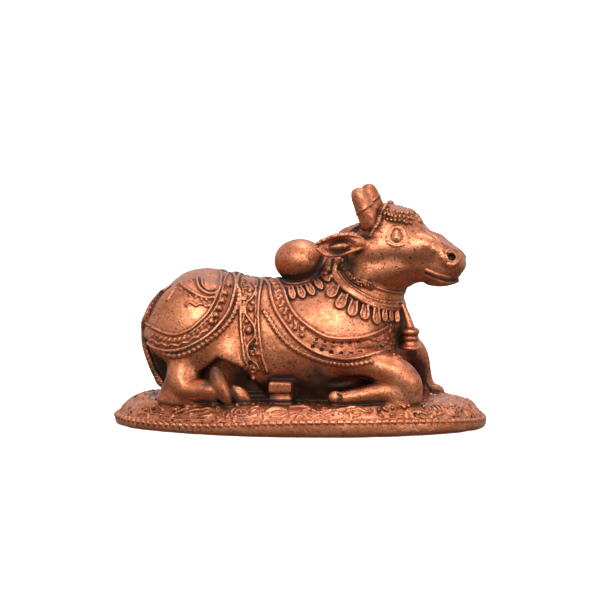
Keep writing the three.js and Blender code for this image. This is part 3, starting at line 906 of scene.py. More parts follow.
# Blanket over the rump: a cord, a double cord, round bosses and leaves between them, and a
# beaded rope outside

blanket = {
    # radius and lift of its three cords
    "outer": (0.42, 0.15),
    "inner": (0.3, 0.12),
    "second": (0.24, 0.1),
    "boss": 0.72,
    "dot": 0.36,
    "wave": 0.2,
    "rope": 1.2,
    "ropeCore": 0.46,
    "ropePitch": 1.15,
}

blanketOuter = onSkin(skin, [
    [-14.6, 0, 26], [-13.9, 30], [-14.6, 26.8], [-15.6, 24.2], [-17.4, 21.7], [-19.7, 19.3],
    [-22.6, 17.5], [-25.3, 16.3], [-28.1, 15.9], [-30.5, 16.3], [-32.4, 17.5],
])
blanketInner = onSkin(skin, [
    [-17.6, 0, 26.5], [-17, 31.4], [-17.6, 28.4], [-18.6, 26.1], [-20, 23.8], [-22.1, 21.7],
    [-23.9, 20.3], [-26.7, 19.3], [-29.1, 19.7], [-30.9, 20.5], [-32.5, 21.4],
])
blanketSecond = onSkin(skin, [
    [-16.3, 31], [-16.8, 28.6], [-17.7, 26], [-19.3, 23.4], [-21.6, 21.1], [-23.6, 19.6],
])
blanketRope = onSkin(skin, [
    [-13.1, 28.4], [-13.3, 26.7], [-13.9, 24.7], [-14.8, 22.9], [-16.3, 21], [-18.1, 19.3],
    [-20.2, 17.7], [-22.6, 16.2], [-24.4, 15.3], [-26.3, 14.8], [-28.1, 14.9], [-30, 15.6],
])
blanketDots = [[-25.6, 29.1], [-24.6, 28.4], [-23.6, 27.7], [-22.4, 27.3], [-21.1, 26.8], [-20.1, 26.7]]
blanketBosses = [[-15.6, 29.8], [-16.2, 28.1], [-16.8, 26.5], [-17.4, 24.9], [-18.1, 23.4], [-19.1, 22.1]]


def blanketOrnament(outer, inner, second, rope, across):
    band = Band(outer, inner)
    cord(outer, *blanket["outer"])
    cord(inner, *blanket["inner"])
    cord(second, *blanket["second"])
    cord(rope, blanket["ropeCore"], -0.12)
    barsAlong(rope, blanket["ropePitch"], 1.0, blanket["rope"], 0.9, slant=6, lift=0.04)
    lay(across(spots(blanketBosses)), blanket["boss"], 0.05)
    # short bars between the blanket's cord and the girth band
    for k in range(4):
        row = band.at(np.linspace(0.1 + 0.07 * k, 0.13 + 0.07 * k, 20), -0.55 - 0.12 * k)
        barsAlong(row, 0.5, length=0.34, width=1.1, height=0.7)
    # small leaves over a wavy line below
    for i in range(15):
        t = 0.5 + i * 0.031
        a, b = band.at([t, t + 0.026], [0.76, 0.46])
        leaf(a, b, 0.72, bend=0.1, lift=0.04)
    wave = np.linspace(0.5, 0.97, 300)
    cord(band.at(wave, 0.3 + 0.06 * np.sin(wave * 95)), blanket["wave"], 0.03)


rumpCords = [  # line, radius and lift
    ([[-25.6, 30.3], [-24.9, 29.5], [-23.2, 28.4], [-21.4, 27.5], [-19.7, 27.1], [-18.4, 27.3]], 0.34, 0.12),
    ([[-24.4, 25.6], [-23.8, 26.2], [-23.1, 26], [-22.3, 25.5], [-21.6, 25.9], [-20.8, 25.7],
      [-20.1, 25.3], [-19.4, 25.7]], 0.24, 0.1),
    ([[-22.1, 31.7], [-22.1, 30.8], [-21.7, 29.5], [-20.7, 28.5], [-19.4, 28], [-18.3, 28.1],
      [-17.7, 28.5]], 0.32, 0.14),
    ([[-21.3, 31.4], [-20.9, 29.8], [-19.7, 28.9], [-18.6, 28.9]], 0.26, 0.1),
    ([[-26.7, 29.3], [-27.6, 28], [-28.4, 26.7]], 0.24, 0.1),
]
rumpCurls = [([-23.3, 31], 0.8, 1), ([-25.9, 30.3], 0.6, -1)]  # place, size and hand


def rumpOrnament(across):
    for rows, radius, lift in rumpCords:
        cord(across(onSkin(skin, rows)), radius, lift)
    lay(across(spots(blanketDots)), blanket["dot"])
    for row, size, hand in rumpCurls:
        curl(across(spots([row]))[0], size, turns=0.9, radius=0.24, hand=hand)


# Collar, neck rope and the garlands of drops

neck = {
    "collar": 0.72,
    "fineCord": 0.24,
    "rope": 0.3,
    "roughRope": 0.75,
    "roughShare": 0.56,  # how far round the rope is crumbly
    "crumb": 0.24,
}

collarNear = [
    [8, 35], [7.5, 33.3], [7.9, 31.8], [8.7, 30.5], [9.9, 29.3], [11.4, 28.3], [13, 27.3],
    [14.7, 26.4], [16.5, 25.8], [18.4, 25.5], [20.2, 25.3],
]
collarLine = onSkin(skin, [[8.8, 0, 31.6], *collarNear, [22.6, 0, 19.4]])
neckRopeLine = onSkin(skin, [
    [9.4, 0, 31.6], [9.2, 34.6], [9.8, 33], [11.6, 31], [13.6, 30.1], [15.9, 29.5], [18.2, 28.8],
    [20.5, 28.4], [22.2, 28.3], [23.2, 0, 23],
])


def neckOrnament(across):
    collar = across(collarLine)
    cord(collar, neck["collar"], 0.0)
    cord(settle(skin, collar - (0.15, 0, 0.55)), neck["collar"], -0.08)
    cord(settle(skin, collar + (0.4, 0, 0.85)), neck["fineCord"], 0.1)
    rope = across(neckRopeLine)
    cord(rope, neck["rope"], 0.05)
    crumbly = rope[:int(len(rope) * neck["roughShare"])]
    cord(crumbly, neck["roughRope"], -0.15)
    crumbs = evenly(crumbly, 0.3)
    rng = np.random.default_rng(11)
    for _ in range(3):
        lay(crumbs + rng.normal(0, 0.34, crumbs.shape), neck["crumb"], 0.4)


def drops(uppers, lowers, widths, count=30, widest=0.6):
    # each drop is a full pod with a rim round it and a smaller drop inside
    share = np.linspace(0, 1, count)
    loop = np.concatenate([share, share[::-1]])
    hand = np.repeat((1, -1), count)
    full = np.where(loop < widest, 0.62 + 0.38 * (loop / widest) ** 1.2,
                    np.sqrt(np.clip(1 - ((loop - widest) / (1 - widest)) ** 2, 0, 1)))
    for upper, lower, width in zip(uppers, lowers, widths):
        axis = lower - upper
        off = outwards(skin, ((upper + lower) / 2)[None])[0]
        aside = unit(np.cross(off, axis)) * (full * hand * 0.37 * width)[:, None]
        places = settle(skin, upper + axis * (0.03 + 0.9 * loop)[:, None] + aside, 3)
        lay(evenly(places, 0.13), 0.31, 0.3)
        drop(upper + axis * 0.1, upper + axis * 0.84, width * 0.8, lift=0.02, narrow=0.6)
        drop(upper + axis * 0.2, upper + axis * 0.78, width * 0.34, lift=0.42)
    # dark gaps between the tops of neighbours
    for k in range(len(uppers) - 1):
        top, end = (uppers[k] + uppers[k + 1]) / 2, (lowers[k] + lowers[k + 1]) / 2
        gap = settle(skin, top + (end - top) * np.linspace(0.1, 0.6, 14)[:, None], 3)
        cutIn(gap, np.linspace(0.34, 0.12, 14), 0.05)


neckDropTops = [
    [7.8, 29.8], [9.5, 27.9], [11.5, 26.5], [13.8, 25.5], [16.1, 24.9], [17.8, 24.6], [19.1, 24.4],
    [20.4, 24.4],
]
neckDropEnds = [
    [6.1, 27.1], [8, 24.7], [10.8, 23.1], [13.5, 22.4], [16.1, 21.4], [17.8, 22], [19.2, 22.1],
    [20.6, 21.9],
]
neckDropWidths = (2.6, 2.5, 2.45, 2.4, 2.2, 1.5, 1.3, 1.2)
humpRope = [
    [-4.6, 30.9], [-3.3, 30.3], [-2, 30], [0.2, 30.2], [1.9, 30.7], [3.5, 32.3], [4.9, 34.2],
    [5.6, 35.8],
]
humpBand = [[-3.5, 29.5], [-1.8, 29.2], [0.3, 29.4], [2.3, 30.1], [4.1, 31.5], [5.5, 33.6]]
humpDropTops = [[-2.1, 29.4], [-0.3, 29.4], [1.5, 29.9], [3.2, 30.9], [4.7, 32.3]]
humpDropEnds = [[-1.4, 26.6], [0.8, 26.9], [2.9, 27.5], [4.7, 28.7], [6.3, 30.4]]
humpDropWidths = (1.5, 1.7, 1.7, 1.6, 1.4)
garlandBosses = [[5.7, 32.3], [6.7, 31.5], [7.4, 32.2], [6.2, 33.2]]


def garlands(across):
    drops(across(spots(neckDropTops)), across(spots(neckDropEnds)), neckDropWidths)
    drops(across(spots(humpDropTops)), across(spots(humpDropEnds)), humpDropWidths)
    cord(across(onSkin(skin, humpRope)), 0.34, 0.15)
    cord(across(onSkin(skin, humpBand)), 0.42, 0.0)
    lay(across(spots(garlandBosses)), 0.75, 0.15)
    lay(across(spots([[8.3, 34.9]])), 1.15, 0.1)
    cutIn(across(onSkin(skin, [[6.9, 35.3], [7, 34.2], [8, 33.3]], 0.2)), 0.4, 0)


bell = {
    "place": (24.3, -4.6, 11.1),
    # radius and height from its strap's end to its mouth
    "profile": [
        (0.05, 4.75), (0.7, 4.7), (1.2, 4.4), (1.75, 4.1), (1.95, 3.6), (1.85, 3.1), (1.5, 2.85),
        (1.5, 2.7), (1.75, 2.5), (1.78, 2), (1.5, 1.75), (1.55, 1.3), (1.8, 0.85), (2.3, 0.5),
        (2.55, 0.35), (2.55, 0), (2.2, -0.2), (0.05, -0.25),
    ],
    "strap": [[22.4, -3.4, 20.2], [23.3, -4, 18.4], [24.2, -4.5, 15.6]],
}


def chestBell(sides=60):
    # the bell, the metal that holds it to the chest, and its strap
    angle = np.linspace(0, 2 * math.pi, sides, endpoint=False)
    radius, height = np.array(bell["profile"]).T[:, :, None]
    rings = np.stack([radius * np.cos(angle), -radius * np.sin(angle), height + 0 * angle], -1)
    join(proud, skinned(figure(rings + bell["place"])), 0.01)
    join(proud, egg(22, -1.4, 14.4, 1.6, 0.9, 3.4), 0.1)
    strap = evenly(through(bell["strap"], 20), stroke)
    stamp(proud, figure(strap), np.linspace(0.5, 0.95, len(strap)))


# Head: strap, curls, eyes, nostrils and mouth

face = {
    "strap": 0.46,
    "strapEnd": 0.8,
    "lid": 0.4,
    "nostril": 0.82,
    "nostrilRing": 0.45,
    "mouth": 0.24,
    "noseRidge": 0.5,
}

strapLine = [[18.2, 46.6], [17.8, 45.9], [17.3, 44.9], [16.7, 43.5], [15.8, 41.9], [15, 40.3]]
curlRows = [
    [[18, 44.4], [19, 44], [20.2, 43.8], [21.4, 43.7], [22.6, 43.5], [23.6, 43.2]],
    [[18.1, 45.2], [19.3, 44.8], [20.5, 44.6], [21.7, 44.5], [22.9, 44.3], [24.1, 43.9]],
    [[18.5, 46], [19.6, 45.7], [20.7, 45.4], [21.8, 45.3], [22.9, 45.1]],
]
browCurls = [
    ([23.8, 45.2], 0.55),
    ([24, 44.2], 0.62),
    ([24.9, 44.5], 0.5),
    ([25.8, 43.7], 0.55),
    ([22.9, 45.4], 0.4),
]
eyeCentre = [[20.5, 40.5]]
lidUpper = [[18.5, 39.4], [18.8, 41], [19.7, 42.1], [20.9, 42.4], [22, 41.7], [22.6, 40.3]]
lidLower = [[18.5, 39.3], [19.4, 38.6], [20.7, 38.3], [22, 38.7], [22.9, 39.7]]
nostrilCentre = [[32.3, 35.9]]
nostrilRing = [[31.1, 36.9], [32.1, 37.5], [33.3, 37.2], [34, 36.2], [33.7, 35], [32.7, 34.2], [31.5, 34.3]]
mouthLine = [[26.9, 32.4], [27.8, 32], [28.7, 31.6], [30.5, 31.1], [32.2, 30.9], [33.4, 31.1]]
noseRidge = [[24.4, 43.6], [25.9, 42.4], [27.8, 40.9], [29.9, 39.2], [31.7, 38]]
noseFacets = [([27, 38.4], 1.5, -1.34), ([28.6, 37.4], 1.2, -1.06), ([30, 35.9], 0.9, -0.74)]
strapHairs = [[17.9, 45.2], [17.7, 44.3], [17.4, 43.5], [17.1, 42.6], [16.7, 41.7]]


def faceDetails(across, side):
    def line(rows):
        return across(onSkin(skin, rows))

    strap = line(strapLine)
    cord(strap, face["strap"], 0.1)
    barsAlong(strap, 0.7, length=0.42, width=0.95, height=0.5, slant=25, lift=0.42)
    lay(line(strapLine[:1]), face["strapEnd"], 0.25)
    rng = np.random.default_rng(7)
    for row in curlRows:
        beads = evenly(line(row), 0.85)
        beads = settle(skin, beads + rng.normal(0, 0.12, beads.shape), 3)
        lay(beads, rng.uniform(0.34, 0.5, len(beads)), 0.08)
        cutIn(beads[::2] + (0.42, 0, -0.1), 0.2, 0.14)
    for row, size in browCurls:
        curl(line([row])[0], size, turns=0.9, radius=0.24, start=40, lift=0.12)
    eye = line(eyeCentre)
    for up, radius, lift in ((-0.4, 1.6, -0.95), (0.1, 1.3, -0.7), (0.8, 0.9, -0.32)):
        lay(settle(skin, eye + (0, 0, up)), radius, lift)
    cord(line(lidUpper), face["lid"], -0.28)
    cord(line(lidLower), face["lid"], -0.24)
    # rough metal between the horn and the ear
    rough = settle(skin, line([[11.9, 42]]) + rng.normal(0, 1.1, (60, 3)))
    lay(rough[:24], rng.uniform(0.2, 0.45, 24), 0)
    cutIn(rough[24:], rng.uniform(0.2, 0.42, 36), 0.05)
    hole = line(nostrilCentre)
    for depth in (0.1, -0.5, -1.1):
        cutIn(hole + (0.1, 0, 0.1), face["nostril"], depth)
    cutIn(line([[31.6, 36.4], [32.6, 36.6]]), 0.45, 0.1)
    cord(line(nostrilRing), face["nostrilRing"], -0.15)
    for depth in (0.05, -0.25):
        cutIn(line(mouthLine), face["mouth"], depth)
    for up, radius in ((0.62, 0.45), (-0.6, 0.42)):
        cord(line([[x, y + up] for x, y in mouthLine]), radius, -0.22)
    cord(line(noseRidge), face["noseRidge"], -0.3)
    # facets worn on the side of the nose
    for row, radius, lift in noseFacets:
        lay(line([row]), radius, lift)
    # short hairs beside the strap
    for place in evenly(line(strapHairs), 0.75):
        a = settle(skin, place[None], 2)[0]
        b = settle(skin, (place + (0.9, side * -0.1, -0.5))[None], 3)[0]
        leaf(a, b, 0.36)


def headPlaces(rows):
    # places on the figure, turned with the head
    return figure(turnedPlaces(rows))


def muzzleFront():
    # the mouth runs round the front of the muzzle
    return headPlaces([[35.2, -3.2, 25.2], [36, -1.2, 25.3], [36, 1, 25.3], [35.1, 2.8, 25.2]])


def earRim(side):
    rows = through(earRows(side), 60)

    def rim(part, height):
        return headPlaces(part[:, :3] + np.stack([part[:, 4] * 0, side * part[:, 3] * 0.75, height], -1))

    for hand in (-1, 1):
        stamp(proud, evenly(rim(rows, hand * (rows[:, 4] - 0.45)), stroke), 0.42)
    fold = through([[13, side * 8.4, 33.7], [10.8, side * 9.4, 33.3], [7.8, side * 10.2, 33]], 20)
    fold = evenly(headPlaces(fold), stroke)
    share = np.linspace(0, 1, len(fold))
    stamp(proud, fold, 0.2 + 0.75 * np.sin(share * math.pi) ** 1.2)
    rng = np.random.default_rng(31)
    some = rows[10:54:2]
    ragged = rim(some, some[:, 4] - 0.3)
    stamp(proud, ragged + rng.normal(0, 0.12, ragged.shape), rng.uniform(0.3, 0.5, len(ragged)))


def hornRing(side, height, lean=36, radius=2.3):
    # the step where the horn's cap sits on its lower part
    angle = np.linspace(0, 2 * math.pi, 110, endpoint=False)
    a = math.radians(lean)
    forward = radius * np.cos(angle)
    ring = np.stack([forward * math.cos(a), radius * np.sin(angle), forward * math.sin(a)], -1)
    places = headPlaces(ring + (15.1, side * 4.45, height))
    cutIn(settle(skin, places, 4), 0.1, 0.0)
    lay(settle(skin, places + (0, 0, 0.42), 4), 0.24, -0.12)


# Base: slanted beads on the rim, and on the slope leaves, scrolls and a wavy line

baseLeaves = [  # from, to, width, bend
    [[-33.2, 3.0], [-32.7, 3.5], 0.7, 0],
    [[-31.7, 3.4], [-31.0, 4.3], 0.8, 0],
    [[-27.6, 2.0], [-23.3, 3.7], 1.0, 0.25],
    [[-25.9, 1.9], [-20.4, 3.5], 1.0, 0.3],
    [[-22.1, 2.9], [-19.1, 3.6], 0.9, 0.1],
    [[-21.7, 1.5], [-19.4, 2.0], 0.7, 0.1],
    [[-15.9, 1.3], [-15.1, 2.5], 0.9, 0],
    [[-14.9, 2.7], [-13.5, 3.6], 0.6, 0.1],
    [[-10.8, 2.5], [-9.0, 3.3], 0.9, 0.1],
    [[-10.8, 3.6], [-8.5, 3.9], 0.6, 0],
    [[-7.9, 2.4], [-3.0, 3.2], 1.7, 0.9],
    [[17.3, 3.9], [18.7, 3.1], 0.7, -0.1],
    [[16.5, 2.4], [17.5, 1.8], 0.6, 0],
    [[27.7, 4.0], [29.4, 2.8], 0.55, 0],
    [[28.4, 4.2], [30.1, 2.9], 0.55, 0],
    [[29.2, 4.2], [30.6, 3.2], 0.55, 0],
    [[30.4, 3.3], [31.7, 4.1], 0.55, 0],
    [[31.8, 3.2], [32.7, 4.1], 0.55, 0],
    [[32.9, 3.1], [33.7, 4.0], 0.6, 0],
    [[33.9, 3.2], [34.7, 4.0], 0.6, 0],
]
baseScrolls = [
    [[-34.8, 2.4], [-32.5, 2.5], [-30.3, 2.3]],
    [[-30.4, 4.2], [-29.9, 3.7], [-29.5, 3.2], [-29.9, 2.2]],
    [[-29.1, 1.5], [-26.3, 1.2], [-23.3, 1.2], [-20.4, 1.1]],
    [[-21.6, 1.9], [-20.3, 1.7], [-18.9, 2.4]],
    [[-14.8, 1.9], [-12.8, 1.5], [-11.2, 2.0]],
    [[-12.0, 1.5], [-11.0, 1.7], [-10.0, 2.1], [-8.7, 2.5], [-7.9, 2.4]],
    [[-14.0, 2.6], [-13.3, 3.2], [-12.0, 3.2], [-11.3, 2.7], [-12.0, 2.2], [-13.3, 2.2], [-14.0, 2.6]],
    [[-6.1, 1.8], [-4.2, 1.8], [-2.7, 2.4]],
    [[-2.3, 3.9], [-0.3, 4.0], [1.7, 3.9]],
    [[-2.3, 1.8], [-0.9, 2.3], [0.5, 1.8]],
    [[0.5, 3.1], [1.9, 3.5], [3.1, 3.1], [3.9, 2.7], [5.3, 3.1], [6.7, 3.2]],
    [[1.7, 2.3], [2.6, 1.9], [3.9, 2.3], [4.9, 1.9], [6.1, 2.3], [7.5, 2.7], [8.8, 2.5]],
    [[5.6, 2.9], [8.4, 3.4], [10.3, 3.8], [11.7, 3.9], [12.8, 3.5], [13.9, 2.9], [15.1, 3.1]],
    [[10.0, 3.2], [12.4, 3.4], [13.5, 3.0]],
    [[10.6, 2.3], [11.7, 2.0], [12.5, 2.3]],
    [[19.2, 2.2], [19.6, 2.4], [20.0, 2.2]],
    [[21.0, 2.2], [21.6, 2.3], [22.1, 2.2]],
    [[23.4, 2.5], [24.4, 3.0], [25.5, 2.9], [26.6, 2.4], [27.7, 2.5]],
    [[28.0, 2.5], [29.4, 2.3], [31.1, 2.7], [32.7, 2.1], [34.1, 2.0]],
]
baseDots = [
    [-29.8, 2.1, 0.45], [-26.7, 3.4, 0.34], [-17.8, 3.4, 0.3], [-17.2, 2.4, 0.3], [-16.4, 2, 0.32],
    [-17.6, 1.6, 0.34], [-12.7, 2.7, 0.42], [-8.9, 2.3, 0.34], [2.6, 3.1, 0.42], [6.4, 3.2, 0.3],
    [16.7, 3.3, 0.45], [14.7, 2.9, 0.35], [19.6, 3.7, 0.36], [22.1, 3.9, 0.42], [26.2, 3.9, 0.5],
    [24.5, 2.8, 0.3], [28.1, 2.8, 0.32], [31.9, 3.9, 0.3],
]
baseCurls = [[-26.7, 3.5, 0.8], [4.9, 3.4, 0.7], [25.1, 2.7, 0.5], [29.8, 2.4, 0.5]]


def onSlope(share, up):
    # share of the way round, and height up the slope from 0 to 1
    share, up = np.broadcast_arrays(share, up)
    insets, heights = np.array(base["slope"]).T
    x, y = oval(share * 2 * math.pi, np.interp(up, heights, insets))
    rim = rimTop(x)
    return settle(skin, np.stack([x, y, rim + (base["height"] - rim) * up], -1), 3)


def evenTurns(count):
    # angles that are evenly spaced along the oval
    angle = np.linspace(0, 2 * math.pi, 4000)
    x, y = oval(angle, 0)
    gone = np.concatenate([[0], np.cumsum(np.hypot(np.diff(x), np.diff(y)))])
    return np.interp(np.arange(count) * gone[-1] / count, gone, angle)


def rimBeads():
    x, y = oval(evenTurns(base["beads"]), 0.3)
    places = settle(skin, np.stack([x, y, rimTop(x)], -1))
    closed = np.vstack([places, places[:1]])
    along = unit(np.gradient(closed, axis=0))[:-1]
    out = outwards(skin, places)
    up = unit(np.cross(out, along))
    out = np.cross(along, up)
    # strokes at the tail's end, rounder and flatter along the middle
    tilt = np.radians(np.interp(places[:, 0], *base["beadTilt"]))[:, None]
    slanted = along * np.cos(tilt) + up * np.sin(tilt)
    frames = np.stack([slanted, np.cross(out, slanted), out], -1)
    stamp(proud, places - out * 0.12, base["beadRadius"], frames, base["beadFlats"])


def slopeRelief(across):
    for first, last, width, bend in baseLeaves:
        start, end = across(spots([first, last]))
        leaf(start, end, width, bend, lift=0.22)
    for row in baseScrolls:
        cord(across(onSkin(skin, row)), base["scroll"], 0.06)
    for x, y, radius in baseDots:
        lay(across(spots([[x, y]])), radius, 0.1)
    for x, y, size in baseCurls:
        curl(across(spots([[x, y]]))[0], size, turns=1.1, radius=0.22, lift=0.12)


crust = {"slope": 1200, "besideLegs": 260, "top": 900}  # how many are tried on each


def onTop(x, y):
    # places on the base's top where nothing stands on it
    places = np.stack([x, y, np.full(len(x), base["height"])], -1)
    return places[np.abs(sample(skin, places)) < 0.3]


def baseCrust():
    # rough lumps and pits on the slope, thickest round the two ends
    rng = np.random.default_rng(4)
    share = rng.uniform(0, 1, crust["slope"])
    ends = np.abs(np.cos(share * 2 * math.pi))
    share = share[rng.uniform(0, 1, crust["slope"]) < 0.06 + 0.5 * ends ** 6]
    count = len(share)
    lumps = onSlope(share, rng.uniform(0.08, 1, count))
    out = outwards(skin, lumps)
    downhill = unit(np.cross(unit(np.cross((0, 0, 1), out)), out) + rng.normal(0, 0.45, out.shape))
    downhill = unit(downhill - out * (downhill * out).sum(-1, keepdims=True))
    frames = np.stack([downhill, np.cross(out, downhill), out], -1)
    radii = rng.uniform(0.2, 0.42, count)
    stamp(proud, lumps - out * 0.14, radii, frames, np.stack([radii * 1.6, radii * 0.2, radii * 0.1], -1))
    cutIn(onSlope(share + 0.003, rng.uniform(0.05, 1, count)), rng.uniform(0.1, 0.26, count), 0.06)
    # the wavy line low on the slope
    wave = np.linspace(0, 1, 3200, endpoint=False)
    turn = wave * 2 * math.pi
    wobble = 0.03 * np.sin(turn * 44) + 0.02 * np.sin(turn * 19 + 1) + 0.02 * np.sin(turn * 71 + 2)
    cord(onSlope(wave, 0.1 + wobble), 0.2, -0.02)
    # crumbs beside the legs, on the strip of top that shows from the side
    count = crust["besideLegs"]
    x = rng.uniform(-30, 30, count)
    y = rng.uniform(-18.5, -9, count) * rng.choice((-1, 1), count)
    places = onTop(x, y)
    lay(places, rng.uniform(0.25, 0.55, len(places)), -0.16)
    # the top of the base is rough too
    count = crust["top"]
    x, y = rng.uniform(-38, 38, count), rng.uniform(-22, 22, count)
    inside = (x / (base["halfLength"] - 6)) ** 2 + (y / (base["halfWidth"] - 6)) ** 2 < 1
    places = onTop(x[inside], y[inside])
    lay(places[::2], rng.uniform(0.3, 0.6, len(places[::2])), -0.22)
    cutIn(places[1::2], rng.uniform(0.12, 0.3, len(places[1::2])), 0.0)


# The near flank is worked as seen, and the far one from the mirrored viewpoint

def asSeen(points):
    return points


def farSide(points):
    return otherFlank(skin, points)


blanketLines = (blanketOuter, blanketInner, blanketSecond, blanketRope)
for across, rich in ((asSeen, True), (farSide, False)):
    shoulderBand(across(shoulderInner), across(shoulderOuter), across(shoulderRope), rich, across)
    girthBand(across(girthBack), across(girthFront), rich)
    blanketOrnament(*[across(line) for line in blanketLines], across)
    rumpOrnament(across)
# behind the rump and over the back the cords of both flanks meet
for line, end, size in zip(blanketLines, (-1, -1, 0), ("outer", "inner", "second")):
    ends = np.array([line[end], farSide(line)[end]])
    cord(settle(skin, evenly(ends, stroke), 20), *blanket[size])
print("bands and blanket laid")
for across in (asSeen, farSide):
    neckOrnament(across)
    garlands(across)
# the clefts of the near and the far fore hoof
cutIn(onSkin(skin, [[8, 6.8], [8.6, 6.1], [8.5, 5.2]]), 0.26, 0.02)
cutIn(onSkin(skin, [[27, 8.6], [27.4, 7.9], [27.7, 7.3]]), 0.28, 0.02)
for across, side in ((asSeen, -1), (otherCheek, 1)):
    faceDetails(across, side)
for side, height in ((-1, 40.6), (1, 41.4)):
    earRim(side)
    hornRing(side, height)
cutIn(settle(skin, evenly(through(muzzleFront(), 40), stroke), 3), face["mouth"], 0.05)
proud = np.maximum(proud, skin - wax["proudest"])
chestBell()
tailCord()
print("neck and head finished")
rimBeads()
for across in (asSeen, farSide):
    slopeRelief(across)
baseCrust()
print("base carved")


# The surface

uncut = smoothJoin(skin, proud, wax["proudBlend"])
casting = -smoothJoin(-uncut, cuts, wax["cutBlend"])
print("ornaments joined")


def recessOf(points, normals):
    # how much of the space in front of the skin is taken up by metal
    hidden = 0
    for distance, weight in ((0.25, 0.32), (0.55, 0.34), (1.1, 0.22), (2.1, 0.12)):
        room = sample(casting, points + normals * distance) / distance
        hidden = hidden + weight * np.clip(1 - room, 0, 1)
    sunk = np.clip(-sample(uncut, points) / 0.6, 0, 1)
    return np.clip(hidden + 0.4 * sunk, 0, 1)


def paintedWideShadeOf(points, normals, skip=5):
    # painted shade: how much metal stands in the wider space in front of the skin, darker under the belly,
    # the hump and between the legs
    solid = (casting[::skip, ::skip, ::skip] < 0).astype(np.float32)
    for _ in range(3):
        for axis in range(3):
            wide = np.moveaxis(np.pad(solid, 2), axis, 0)
            total = sum(wide[k:len(wide) - 4 + k] for k in range(5)) / 5
            inner = tuple(slice(None) if other == axis else slice(2, -2) for other in range(3))
            solid = np.moveaxis(total, 0, axis)[inner]
    return sample(solid, points + normals * 3.5, step * skip)


def edgeOf(points, normals):
    # positive on crests, negative in hollows
    depth = sample(casting, points - normals * 0.45)
    height = sample(casting, points + normals * 0.45)
    return np.clip((depth + height) * 2.5, -1, 1)


def takeSurface():
    grid = openvdb.FloatGrid(reach)
    grid.transform = openvdb.createLinearTransform(voxelSize=step)
    grid.copyFromArray(casting, ijk=tuple(int(v) for v in gridLow))
    points, _, quads = grid.convertToPolygons(isovalue=0.0, adaptivity=0.0)
    return points.astype(float), quads


points, quads = takeSurface()
print("surface taken:", len(quads), "faces", points.min(0), points.max(0))
# Painted shade on the big forms, where shadow falls under the hump, jaw and belly and between the legs:
# place, reach and amount, as rows above. Places with a negative amount are painted highlights.
paintedShadePatches = [
    [-1, 31, 3.2, 0.25], [1.5, 31.6, 3, 0.3], [4, 33, 2.6, 0.3], [8.2, 36.4, 1.6, 0.5],
    [10.9, 34.2, 1.8, 0.6], [12.4, 42.4, 1.8, 0.6], [14.4, 40.4, 1, 0.4], [23.6, 15.8, 1.2, 0.5],
    [25.6, 13.5, 2.2, 0.35], [26, 10, 1.6, 0.5], [24.7, 11.6, 1.4, 0.4], [4.5, 9.2, 2.4, 0.5],
    [8, 9, 2.6, 0.4], [0.8, 7.2, 2, 0.4], [-13, 9.5, 3, 0.5], [-18.4, 11.6, 2.2, 0.5],
    [-8, 8.4, 2.2, 0.35], [-31, 12, 2.4, 0.5], [-6.4, 6, 1.2, 0.4], [15, 5.2, 2.2, 0.12],
    [31.4, 29.8, 1.6, 0.35], [27, 30.6, 2.2, 0.35], [28.3, 7.6, 1.2, 0.3], [23.2, 30.9, 2.2, 0.35],
    [-2, 10.5, 3, 0.4], [3, 11, 3, 0.4], [-5, 9.6, 2, 0.4], [10, 11.2, 2, 0.35], [13.6, 10.6, 2, 0.35],
    [-14, 4.6, 3, 0.3], [-8, 4.4, 3, 0.3], [-2, 4.4, 3, 0.25], [4, 4.4, 3, 0.15],
    [26.4, 12, 1.4, 0.35], [24, 15.8, 0.9, 0.5], [-30, 11.4, 2.4, 0.5], [-28.8, 8.6, 1.6, 0.4],
    [8.4, 5.6, 0.8, 0.35], [-20.6, 8.8, 1.6, 0.15], [29, 6.9, 1, 0.2], [9.8, 20.6, 4.2, -0.12],
    [-21.4, 22.6, 2.6, -0.08], [21, 37.2, 3, -0.1], [20.6, 10, 3, -0.12], [23.9, 14.4, 1.6, 0.4],
    [24.8, 12.4, 1.6, 0.4], [26, 9.6, 1.2, 0.4], [-20.2, 8.4, 1.1, 0.3], [-20.5, 5.4, 1.6, 0.3],
    [-29.2, 12.6, 1.8, 0.5], [-31.6, 14.6, 1.2, 0.4], [17, 4.6, 2.4, 0.2],
]


def paintedShadeAndHighlightOf(points):
    # painted shade and highlights; the far flank has the patches of the flank and the hump too, but fainter
    near = [(fromSide(casting, row[:2]), *row[2:]) for row in paintedShadePatches]
    far = [(otherFlank(casting, fromSide(casting, row[:2])), row[2], row[3] * 0.6) for row in paintedShadePatches
           if -28 < row[0] < 12 and row[1] > 9]
    total = np.zeros(len(points))
    for spot, distance, amount in near + far:
        away = ((points - spot) ** 2).sum(-1) / distance ** 2
        total = total + amount * np.exp(-away)
    return total


normals = outwards(casting, points, 0.6)
recess = recessOf(points, normals)
recess = recess * np.where(points[:, 2] < base["height"] + 0.4, 0.72, 1)  # the base is rubbed more
edge = edgeOf(points, normals)
# painted shade in the wide hollows, where shadow falls
paintedWideShade = np.clip((paintedWideShadeOf(points, normals) - 0.1) / 0.45, 0, 1.2) ** 1.5
# painted shade and painted highlights in patches
paintedShadeAndHighlight = paintedShadeAndHighlightOf(points)
print("patina worked out")


